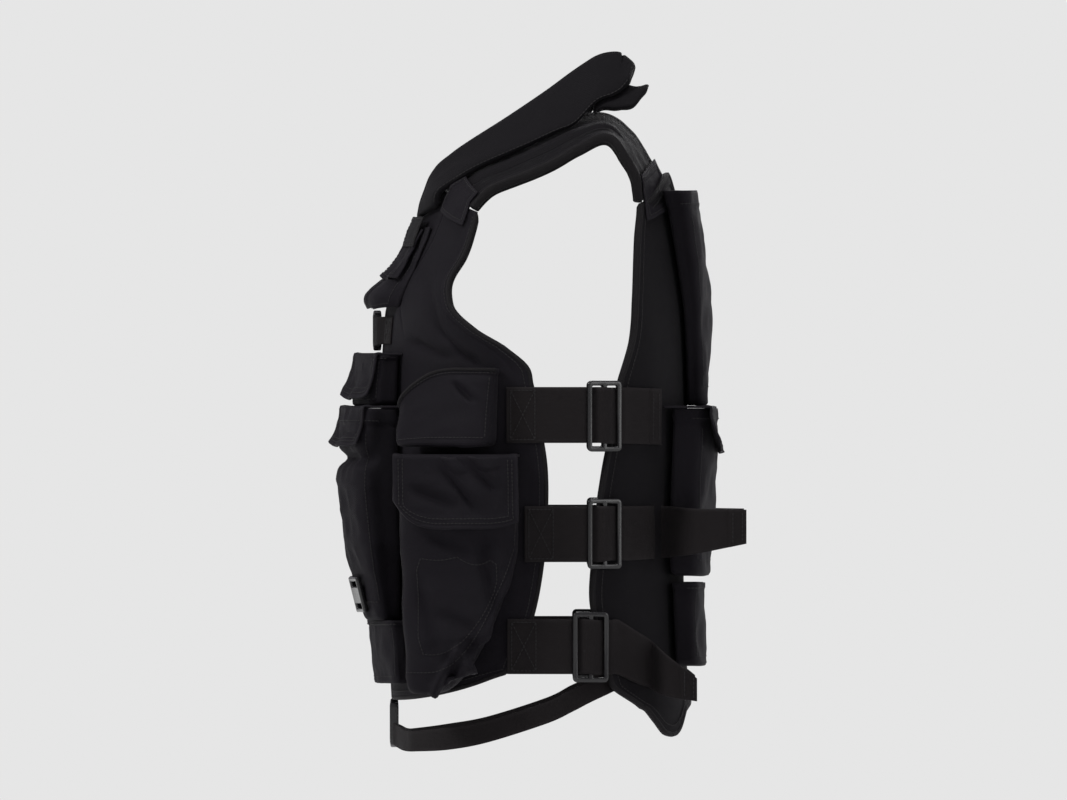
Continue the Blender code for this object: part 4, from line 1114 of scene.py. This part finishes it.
def add_flap(name, flap, pouch, side, seams):
    def shape(across, run):
        return flap_point(flap, pouch, side, (2.0 * across - 1.0) * FLAP_SPREAD, run)

    def relief(across, run, spots):
        lines = fold_lines(spots, FLAP_FOLDS) if pouch.name == "side_pouch" else 0.0
        edge = panel_hem(across, 0.5 + 0.5 * run, pouch.width, 2.0 * flap.length, 0.008)
        edge = edge * smooth_step(FLAP_TURN - 0.1, FLAP_TURN, run)
        free = smooth_step(FLAP_TURN, 0.7, run)
        waves = 0.0018 * np.sin(across * 11.0 + 1.0) * free * run
        share = hanging_share(run)
        hollow = FLAP_HOLLOWS.get(pouch.name, 0.0) * (np.sin(math.pi * share) - 0.9 * share ** 3)
        return (edge + (lines + waves + soft_folds("pouch_flap", spots)) * free
                - hollow * (1.0 - 0.6 * np.abs(2.0 * across - 1.0) ** 3))

    centre = pouch_point(pouch, side, 0.0, 0.6, 0.3)
    columns = 110 if pouch.width > 0.15 else 70
    cloth = make_cloth(name, "body_nylon", columns, 60, shape, FLAP_THICK, centre, relief)
    settle(cloth.item, "nylon_cloth", name)
    side_end = "" if pouch in BACK_POUCHES else name[name.rfind("_"):]
    declare_sheet(cloth, "hung", pouch.name + side_end)
    for inset in (0.005, 0.009):
        beside = inset / cloth.sizes[0]
        low = 1.0 - inset / cloth.sizes[1]
        seams.sew(cloth, (beside, 0.42), (beside, low), (1 - beside, low), (1 - beside, 0.42))


def slider_frame(row):
    """Middle, direction round the body and direction out of it at a slider."""
    _, y, z, _ = row
    girth = girth_at_y(y, z)
    middle = on_body(1.0, girth, z, 0.0)
    normal = unit(on_body(1.0, girth, z, 0.001) - middle)
    return middle, np.array((-normal[1], normal[0], 0.0)), normal


def strap_row(y, top, bottom, lift, lean=0.0):
    """Top and bottom points of a strap over the form, its bottom nearer by lean."""
    return (*on_body(1.0, girth_at_y(y, top), top, lift),
            *on_body(1.0, girth_at_y(y, bottom), bottom, lift - lean))


def side_strap_rows(slider, sewn, behind, free):
    """Top and bottom points: sewn part, through the slider, over the back, then the loose end."""
    low = BACK_PAD + STRAP_CLEAR
    high = SLIDER_LIFT + SLIDER_THICK + GAP
    reach = SLIDER_LONG / 2.0
    middle, tangent, normal = slider_frame(slider)
    rows = []
    for share in (0.0, 0.5, 1.0):
        y, top, bottom = np.array(sewn[0]) * (1.0 - share) + np.array(sewn[1]) * share
        rows.append(strap_row(y, top, bottom, PANEL + STRAP_CLEAR))
    through = ((-reach - 0.004, low), (-reach + SLIDER_BAR * 1.1, low), (-SLIDER_BAR * 0.9, high),
               (SLIDER_BAR * 0.9, high), (reach - SLIDER_BAR * 1.1, low), (reach + 0.003, low))
    for offset, lift in through:
        spot = middle + tangent * offset + normal * lift
        top, bottom = sewn[1][1:] if offset < 0.0 else behind[0][1:]
        rows.append((spot[0], spot[1], top, spot[0], spot[1], bottom))
    rows.extend(strap_row(y, top, bottom, low) for y, top, bottom in behind)
    rows.extend((x, y, top, x, y, bottom) for x, y, top, bottom in free)
    return rows


def even_rows(rows, step=0.0015):
    """A table of rows sampled evenly along its length, rounded a little at its corners."""
    fine = along(rows, np.linspace(0.0, len(rows) - 1.0, 40 * len(rows)))
    middle = (fine[:, :3] + fine[:, 3:]) / 2.0
    runs = runs_along(middle)
    places = np.linspace(0.0, runs[-1], int(runs[-1] / step) + 1)
    return sample(places, runs, fine)


def make_webbing(name, rows, side, centre, end_hem, columns):
    """A strap of woven webbing through rows of top and bottom points, with a turned end."""
    table = even_rows(rows)
    count = len(table) - 1

    def shape(across, run):
        values = along(table, run * count)
        lower, upper = values[:, 3:], values[:, :3]
        return to_side(lower + (upper - lower) * across[:, None], side)

    def relief(across, run, spots):
        long = line_length((table[:, :3] + table[:, 3:]) / 2.0)
        left = (1.0 - run) * long
        doubled = 0.0012 * (1.0 - smooth_step(end_hem - 0.001, end_hem, left))
        rolled = 0.0003 * bump(np.minimum(across, 1.0 - across), 0.02, 0.02)
        return doubled + rolled + 0.0004 * lattice(spots, 0.030, 61)

    cloth = make_cloth(name, "strap_webbing", columns, count, shape, WEBBING, centre, relief)
    settle(cloth.item, "webbing", name)
    return cloth


def add_side_strap(side_name, side, slider, strap, seams):
    name, *parts = strap
    rows = side_strap_rows(slider, *parts)
    cloth = make_webbing(name + "_" + side_name, rows, side, SIDE_STRAP_CENTRE, 0.016, 20)
    long = cloth.sizes[1]
    seams.sew_box(cloth, 0.06, 0.004 / long, 0.94, 0.026 / long, crossed=True)
    for inset in (0.004, 0.013):
        seams.sew(cloth, (0.08, 1 - inset / long), (0.92, 1 - inset / long))


def add_plastic(name, builder, bevel, *nodes):
    """A plastic piece with rounded edges, from a finished bmesh."""
    item = make_item(name, "black_plastic_gloss", builder)
    edge = item.modifiers.new("rounded edges", "BEVEL")
    edge.width = bevel
    edge.segments = 3
    edge.limit_method = "ANGLE"
    settle(item, "black_plastic", *nodes)


def placed(builder, middle, right, upward, outward, side=1.0):
    """Moves a flat-made part to its place: x to the right, y outward and z upward."""
    matrix = Matrix((
        (side * right[0], side * outward[0], side * upward[0], side * middle[0]),
        (right[1], outward[1], upward[1], middle[1]),
        (right[2], outward[2], upward[2], middle[2]),
        (0.0, 0.0, 0.0, 1.0),
    ))
    bmesh.ops.transform(builder, matrix=matrix, verts=builder.verts[:])
    bmesh.ops.recalc_face_normals(builder, faces=builder.faces[:])


def plate_with_windows(builder, xs, zs, open_cells, thick):
    """A plate from a grid whose lines stand at xs and zs, with some cells cut out."""
    columns, rows = len(xs) - 1, len(zs) - 1
    bmesh.ops.create_grid(builder, x_segments=columns, y_segments=rows, size=0.5)
    for face in list(builder.faces):
        spot = face.calc_center_median()
        cell = (int((spot.x + 0.5) * columns), int((spot.y + 0.5) * rows))
        if cell in open_cells:
            builder.faces.remove(face)
    for vertex in builder.verts:
        column = round((vertex.co.x + 0.5) * columns)
        row = round((vertex.co.y + 0.5) * rows)
        vertex.co = (xs[column], -thick / 2.0, zs[row])
    loose = [edge for edge in builder.edges if not edge.link_faces]
    bmesh.ops.delete(builder, geom=loose, context="EDGES")
    grown = bmesh.ops.extrude_face_region(builder, geom=builder.faces[:])
    moved = [part for part in grown["geom"] if isinstance(part, bmesh.types.BMVert)]
    bmesh.ops.translate(builder, vec=(0.0, thick, 0.0), verts=moved)
    bmesh.ops.recalc_face_normals(builder, faces=builder.faces[:])


def add_slider(side_name, side, row):
    name = row[0] + "_" + side_name
    half_long = SLIDER_LONG / 2.0
    half_high = row[3] / 2.0
    bar = SLIDER_BAR
    builder = bmesh.new()
    xs = (-half_long, -half_long + bar, -bar / 2.0, bar / 2.0, half_long - bar, half_long)
    zs = (-half_high, -half_high + bar, half_high - bar, half_high)
    plate_with_windows(builder, xs, zs, ((1, 1), (3, 1)), SLIDER_THICK)
    corners = [edge for edge in builder.edges
               if all(abs(abs(v.co.x) - half_long) < 1e-6 and abs(abs(v.co.z) - half_high) < 1e-6
                      for v in edge.verts)]
    bmesh.ops.bevel(builder, geom=corners, offset=0.0042, segments=5, affect="EDGES", profile=0.5,
                    material=-1)
    middle, tangent, normal = slider_frame(row)
    spot = middle + normal * (SLIDER_LIFT + SLIDER_THICK / 2.0)
    placed(builder, spot, tangent, UPRIGHT, normal, side)
    add_plastic(name, builder, 0.0013, name)


def add_waist_strap(side_name, side, seams):
    rows = [strap_row(*row, lean=0.0005) for row in WAIST_STRAP]
    rows.extend((x, y, top, x, y, bottom) for x, y, top, bottom in WAIST_FRONT)
    cloth = make_webbing("waist_strap_" + side_name, rows, side, WAIST_CENTRE, 0.0, 12)
    long = cloth.sizes[1]
    for inset in (0.004, 0.012):
        seams.sew(cloth, (0.1, inset / long), (0.9, inset / long))


def add_buckle(name, y, z, length, height, thick):
    """A side-release buckle: a hollow socket whose side windows show the latches of the plug."""
    half = height / 2.0
    for half_name, side, lines, windows, thinner, outline in BUCKLE_HALVES:
        builder = bmesh.new()
        xs = (GAP, *(length * share for share in lines))
        zs = (-half, -half * BUCKLE_BAR, half * BUCKLE_BAR, half)
        plate_with_windows(builder, xs, zs, windows, thick - thinner)
        for vertex in builder.verts:
            share = (vertex.co.x - GAP) / (length - GAP)
            vertex.co.z *= float(np.interp(share, *zip(*outline)))
            vertex.co.y *= 1.0 - 0.25 * abs(vertex.co.z / half) ** 2
        placed(builder, (0.0, y, z), (1.0, 0.0, 0.0), UPRIGHT, (0.0, -1.0, 0.0), side)
        add_plastic(name + "_" + half_name, builder, 0.0016, name + "_" + half_name)
    for end in (1.0, -1.0):
        builder = bmesh.new()
        bmesh.ops.create_cube(builder, size=1.0)
        bmesh.ops.scale(builder, vec=(length * 0.36, thick * 0.6, half * 0.34),
                        verts=builder.verts[:])
        bmesh.ops.translate(builder, vec=(length * 0.46, y, z + end * half * 0.78),
                            verts=builder.verts[:])
        add_plastic(name + ("_latch_up" if end > 0.0 else "_latch_down"), builder, 0.0018)


def add_chest_tab(side_name, side, seams):
    _, y, z, length, _, thick = BUCKLES[0]
    start = length + GAP

    def shape(across, up):
        height = z + (up - 0.5) * CHEST_TAB_HEIGHT
        x = start + (CHEST_TAB_END - start) * across
        on_panel = on_body(1.0, girth_at_x(x, height), height, PANEL + GAP)
        out = y + thick * 0.1
        share = smooth_step(0.0, 1.0, np.minimum(1.0, (x - start) / CHEST_TAB_LEAN))
        return np.stack([side * x, out + (on_panel[:, 1] - out) * share, height], axis=-1)

    name = "chest_tab_" + side_name
    cloth = make_cloth(name, "strap_webbing", 50, 14, shape, WEBBING, TAB_CENTRE)
    settle(cloth.item, "webbing", name)
    seams.sew_box(cloth, 0.45, 0.12, 0.92, 0.88, crossed=True)


def add_pouch_buckle(side_name, side, pouch):
    """The small buckle that holds the tall pouch shut, low on its face."""
    up = (POUCH_BUCKLE_HEIGHT - pouch.bottom) / pouch.height
    face, upper, beside = (pouch_point(pouch, side, across, level, 1.0)
                           for across, level in ((0.0, up), (0.0, up + 0.1), (0.1, up)))
    upward = unit(upper - face)
    normal = side * unit(np.cross(beside - face, upward))
    right = np.cross(normal, upward)
    width, thick, tall = POUCH_BUCKLE_SIZE
    half, high = width / 2.0, tall / 2.0
    builder = bmesh.new()
    xs = (-half, -half * BUCKLE_BAR, half * BUCKLE_BAR, half)
    zs = (-high, -high * 0.78, -high * 0.50, high * 0.45, high * 0.75, high)
    plate_with_windows(builder, xs, zs, ((1, 1), (1, 3)), thick * 0.55)
    placed(builder, face + normal * (thick / 2.0 + 2.0 * GAP), right, upward, normal)
    add_plastic("pouch_buckle_" + side_name, builder, 0.0014, "pouch_buckle_" + side_name)


def clear_default_scene():
    """Removes what a new file starts with."""
    for name in ("Cube", "Light", "Camera"):
        item = bpy.data.objects.get(name)
        if item:
            bpy.data.objects.remove(item)


def feed(tree, inputs, values):
    """Sets inputs to numbers or colours, or links them to the outputs of other nodes."""
    for label, value in values.items():
        if isinstance(value, bpy.types.NodeSocket):
            tree.links.new(value, inputs[label])
        else:
            inputs[label].default_value = (*value, 1.0) if isinstance(value, tuple) else value


def new_node(tree, kind, values=None, **settings):
    """A node with its settings, and with its inputs fed."""
    node = tree.nodes.new(kind)
    for label, value in settings.items():
        setattr(node, label, value)
    feed(tree, node.inputs, values or {})
    return node


def math_node(tree, operation, *values):
    node = new_node(tree, "ShaderNodeMath", dict(enumerate(values)), operation=operation)
    return node.outputs[0]


def mix_colours(tree, factor, first, second):
    node = new_node(tree, "ShaderNodeMix", data_type="RGBA")
    feed(tree, node.inputs, {"Factor": factor, 6: first, 7: second})
    return node.outputs[2]


def mix_surfaces(tree, factor, first, second):
    return new_node(tree, "ShaderNodeMixShader", {0: factor, 1: first, 2: second}).outputs[0]


def node_group(name, inputs, outputs):
    """An empty group with inputs, their values, and outputs. It comes with its two end nodes."""
    group = bpy.data.node_groups.new(name, "ShaderNodeTree")
    for label, value in inputs:
        kind = "NodeSocketVector" if value is None else "NodeSocketFloat"
        socket = group.interface.new_socket(label, in_out="INPUT", socket_type=kind)
        if value is not None:
            socket.default_value = value
    for label in outputs:
        group.interface.new_socket(label, in_out="OUTPUT", socket_type="NodeSocketFloat")
    return group, group.nodes.new("NodeGroupInput").outputs, group.nodes.new("NodeGroupOutput").inputs


def make_weave_group():
    """Plain weave on a map in metres: threads that go over and under each other."""
    group, given, result = node_group(
        "plain_weave", (("Map", None), ("Pitch", 0.0008), ("Rib", 1.0)), ("Height", "Shade"))
    split = new_node(group, "ShaderNodeSeparateXYZ", {0: given["Map"]}).outputs
    turns = math_node(group, "DIVIDE", math.pi, given["Pitch"])
    across, along_rows = (math_node(group, "MULTIPLY", split[axis], turns) for axis in ("X", "Y"))
    up = math_node(group, "MULTIPLY", along_rows, given["Rib"])
    warp, weft = (math_node(group, "SINE", place) for place in (across, up))
    over = math_node(group, "GREATER_THAN", math_node(group, "MULTIPLY", warp, weft), 0.0)
    under = math_node(group, "SUBTRACT", 1.0, over)
    threads = (math_node(group, "MULTIPLY", math_node(group, "ABSOLUTE", wave), seen)
               for wave, seen in ((warp, over), (weft, under)))
    height = math_node(group, "ADD", *threads)
    feed(group, result, {"Height": height, "Shade": math_node(group, "MULTIPLY", height, 0.8)})
    return group


def make_mottle_group():
    """Uneven colour of worn nylon: broad faded areas, fine slubs and a little lint."""
    group, given, result = node_group(
        "worn_mottle", (("Place", None), ("Slub", 900.0), ("Fade", 14.0)),
        ("Slubs", "Faded", "Lint"))
    place = given["Place"]

    def noise(values):
        return new_node(group, "ShaderNodeTexNoise", {"Vector": place, **values}).outputs["Fac"]

    specks = new_node(group, "ShaderNodeTexVoronoi",
                      {"Vector": place, "Scale": LINT_SPACING, "Randomness": 1.0})
    near = math_node(group, "LESS_THAN", specks.outputs["Distance"], LINT_SIZE)
    some = math_node(group, "GREATER_THAN", noise({"Scale": 37.0}), 0.62)
    feed(group, result, {"Slubs": noise({"Scale": given["Slub"], "Detail": 3.0}),
                         "Faded": noise({"Scale": given["Fade"], "Detail": 3.0}),
                         "Lint": math_node(group, "MULTIPLY", near, some)})
    return group


def make_wear_group():
    """Paler, rubbed cloth along edges, from the distance to the edge of each piece."""
    group, given, result = node_group(
        "edge_rub", (("Distance", 1.0), ("Width", 0.004), ("Breaks", 0.5)), ("Rub",))
    share = math_node(group, "DIVIDE", given["Distance"], given["Width"])
    near = math_node(group, "MAXIMUM", math_node(group, "SUBTRACT", 1.0, share), 0.0)
    feed(group, result, {"Rub": math_node(group, "MULTIPLY", near, given["Breaks"])})
    return group


def new_material(name, values):
    """The tree of a new material, its shader with these values, and the place in the vest."""
    material = bpy.data.materials.new(name)
    material.use_nodes = True
    tree = material.node_tree
    shader = tree.nodes["Principled BSDF"]
    feed(tree, shader.inputs, values)
    return tree, shader, new_node(tree, "ShaderNodeTexCoord").outputs["Object"]


def dress_shader(tree, shader, colour, rough, height, distance, strength=1.0):
    """Feeds a colour, a roughness and the bumps of a height into a shader."""
    bumps = new_node(tree, "ShaderNodeBump",
                     {"Height": height, "Distance": distance, "Strength": strength})
    feed(tree, shader.inputs,
         {"Base Color": colour, "Roughness": rough, "Normal": bumps.outputs[0]})


def make_cloth_material(look, weave_group, mottle_group, wear_group):
    name, dark, light, worn, pitch, rib, distance, roughness, sheen, specular = look
    tree, shader, place = new_material(
        name, {"Sheen Weight": sheen, "Sheen Roughness": 0.4, "Specular IOR Level": specular})
    cloth_map = new_node(tree, "ShaderNodeUVMap", uv_map="cloth")
    edge = new_node(tree, "ShaderNodeAttribute", attribute_name="edge_distance")

    def use(group, values):
        return new_node(tree, "ShaderNodeGroup", values, node_tree=group).outputs

    weave = use(weave_group, {"Map": cloth_map.outputs[0], "Pitch": pitch, "Rib": rib})
    mottle = use(mottle_group, {"Place": place})
    wear = use(wear_group, {"Distance": edge.outputs["Fac"], "Breaks": mottle["Faded"]})
    halves = (math_node(tree, "MULTIPLY", mottle[label], 0.5) for label in ("Slubs", "Faded"))
    tone = math_node(tree, "ADD", *halves)
    shade = math_node(tree, "MULTIPLY", tone, weave["Shade"])
    colour = mix_colours(tree, math_node(tree, "MULTIPLY", shade, 1.6), dark, light)
    colour = mix_colours(tree, wear["Rub"], colour, worn)
    lint = math_node(tree, "MULTIPLY", mottle["Lint"], 0.5)
    colour = mix_colours(tree, lint, colour, LINT_COLOUR)
    rough = math_node(tree, "ADD", math_node(tree, "MULTIPLY", tone, 0.25), roughness - 0.1)
    slubs = math_node(tree, "MULTIPLY", mottle["Slubs"], 1.2)
    height = math_node(tree, "ADD", weave["Height"], slubs)
    dress_shader(tree, shader, colour, rough, height, distance, 0.8)


def make_plastic_material(mottle_group):
    tree, shader, place = new_material("black_plastic_gloss", {
        "Specular IOR Level": 0.5, "Coat Weight": 0.25, "Coat Roughness": 0.08})
    mottle = new_node(tree, "ShaderNodeGroup", {"Place": place, "Slub": 1400.0, "Fade": 60.0},
                      node_tree=mottle_group).outputs
    colour = mix_colours(tree, mottle["Faded"], *PLASTIC_COLOURS)
    rough = math_node(tree, "ADD", math_node(tree, "MULTIPLY", mottle["Faded"], 0.2), 0.10)
    dress_shader(tree, shader, colour, rough, mottle["Slubs"], PLASTIC_BUMP)


def make_materials():
    weave = make_weave_group()
    mottle = make_mottle_group()
    wear = make_wear_group()
    for look in CLOTH_LOOKS:
        make_cloth_material(look, weave, mottle, wear)
    make_plastic_material(mottle)


def make_floor():
    """A pale floor that fades into the pale surroundings away from the vest."""
    builder = bmesh.new()
    bmesh.ops.create_circle(builder, cap_ends=True, radius=FLOOR_RADIUS, segments=64)
    bmesh.ops.translate(builder, vec=(0.0, 0.0, FLOOR_HEIGHT), verts=builder.verts[:])
    tree, shader, place = new_material("studio_floor",
                                       {"Base Color": FLOOR_COLOUR, "Roughness": 0.9})
    glow = new_node(tree, "ShaderNodeEmission", {"Color": PAPER_COLOUR})
    away = new_node(tree, "ShaderNodeVectorMath", {0: place}, operation="LENGTH").outputs["Value"]
    near, far = FLOOR_FADE
    fade = new_node(tree, "ShaderNodeMapRange", {"From Min": near, "From Max": far, "Value": away},
                    interpolation_type="SMOOTHSTEP")
    surface = mix_surfaces(tree, fade.outputs[0], shader.outputs[0], glow.outputs[0])
    feed(tree, tree.nodes["Material Output"].inputs, {"Surface": surface})
    make_item("studio_floor", "studio_floor", builder)


def make_studio():
    """A pale room with four lights, and the camera at the wearer's left."""
    world = bpy.data.worlds.new("studio")
    bpy.context.scene.world = world
    world.use_nodes = True
    tree = world.node_tree
    back = tree.nodes["Background"]
    feed(tree, back.inputs, {"Color": PAPER_COLOUR})
    lit = new_node(tree, "ShaderNodeBackground", {"Color": ROOM_COLOUR})
    seen = new_node(tree, "ShaderNodeLightPath").outputs["Is Camera Ray"]
    surface = mix_surfaces(tree, seen, lit.outputs[0], back.outputs[0])
    feed(tree, tree.nodes["World Output"].inputs, {"Surface": surface})
    for name, spot, size, power in LIGHTS:
        light = bpy.data.lights.new(name, "AREA")
        light.shape = "DISK"
        light.size = size
        light.energy = power
        item = link_item(name, light)
        item.location = spot
        item.rotation_mode = "QUATERNION"
        item.rotation_quaternion = (Vector(LIGHT_TARGET) - Vector(spot)).to_track_quat("-Z", "Y")
    camera = bpy.data.cameras.new("camera")
    camera.lens = CAMERA_LENS
    item = link_item("camera", camera)
    item.location = CAMERA_SPOT
    item.rotation_euler = (math.radians(90.0), 0.0, math.radians(90.0))
    bpy.context.scene.camera = item
    bpy.context.scene.view_settings.view_transform = "Standard"


def make_vest():
    pouches = {pouch.name: pouch for pouch in SIDE_POUCHES + BACK_POUCHES}
    back_seams = Seams()
    add_back_panel(back_seams)
    for pouch in BACK_POUCHES:
        add_pouch(pouch.name, pouch, 1.0, back_seams)
    for side_name, side in SIDES:
        seams = Seams()
        add_front_panel(side_name, side, seams)
        add_shoulder_strap(side_name, side, seams)
        add_shoulder_laps(side_name, side, seams)
        add_shoulder_pad(side_name, side, seams)
        add_chest_flaps(side_name, side, seams)
        add_chest_patch(side_name, side, seams)
        add_chest_tab(side_name, side, seams)
        add_waist_strap(side_name, side, seams)
        for pouch in SIDE_POUCHES:
            add_pouch(pouch.name + "_" + side_name, pouch, side, seams)
        add_pouch_buckle(side_name, side, pouches["tall_pouch"])
        for slider, strap in zip(SLIDERS, SIDE_STRAPS):
            add_side_strap(side_name, side, slider, strap, seams)
            add_slider(side_name, side, slider)
        for flap in SIDE_FLAPS:
            add_flap(flap.name + "_" + side_name, flap, pouches[flap.pouch], side, seams)
        seams.build("stitches_" + side_name)
    add_flap(BACK_FLAP.name, BACK_FLAP, pouches[BACK_FLAP.pouch], 1.0, back_seams)
    back_seams.build("stitches_back")
    for buckle in BUCKLES:
        add_buckle(*buckle)


clear_default_scene()
make_materials()
make_vest()
make_floor()
make_studio()
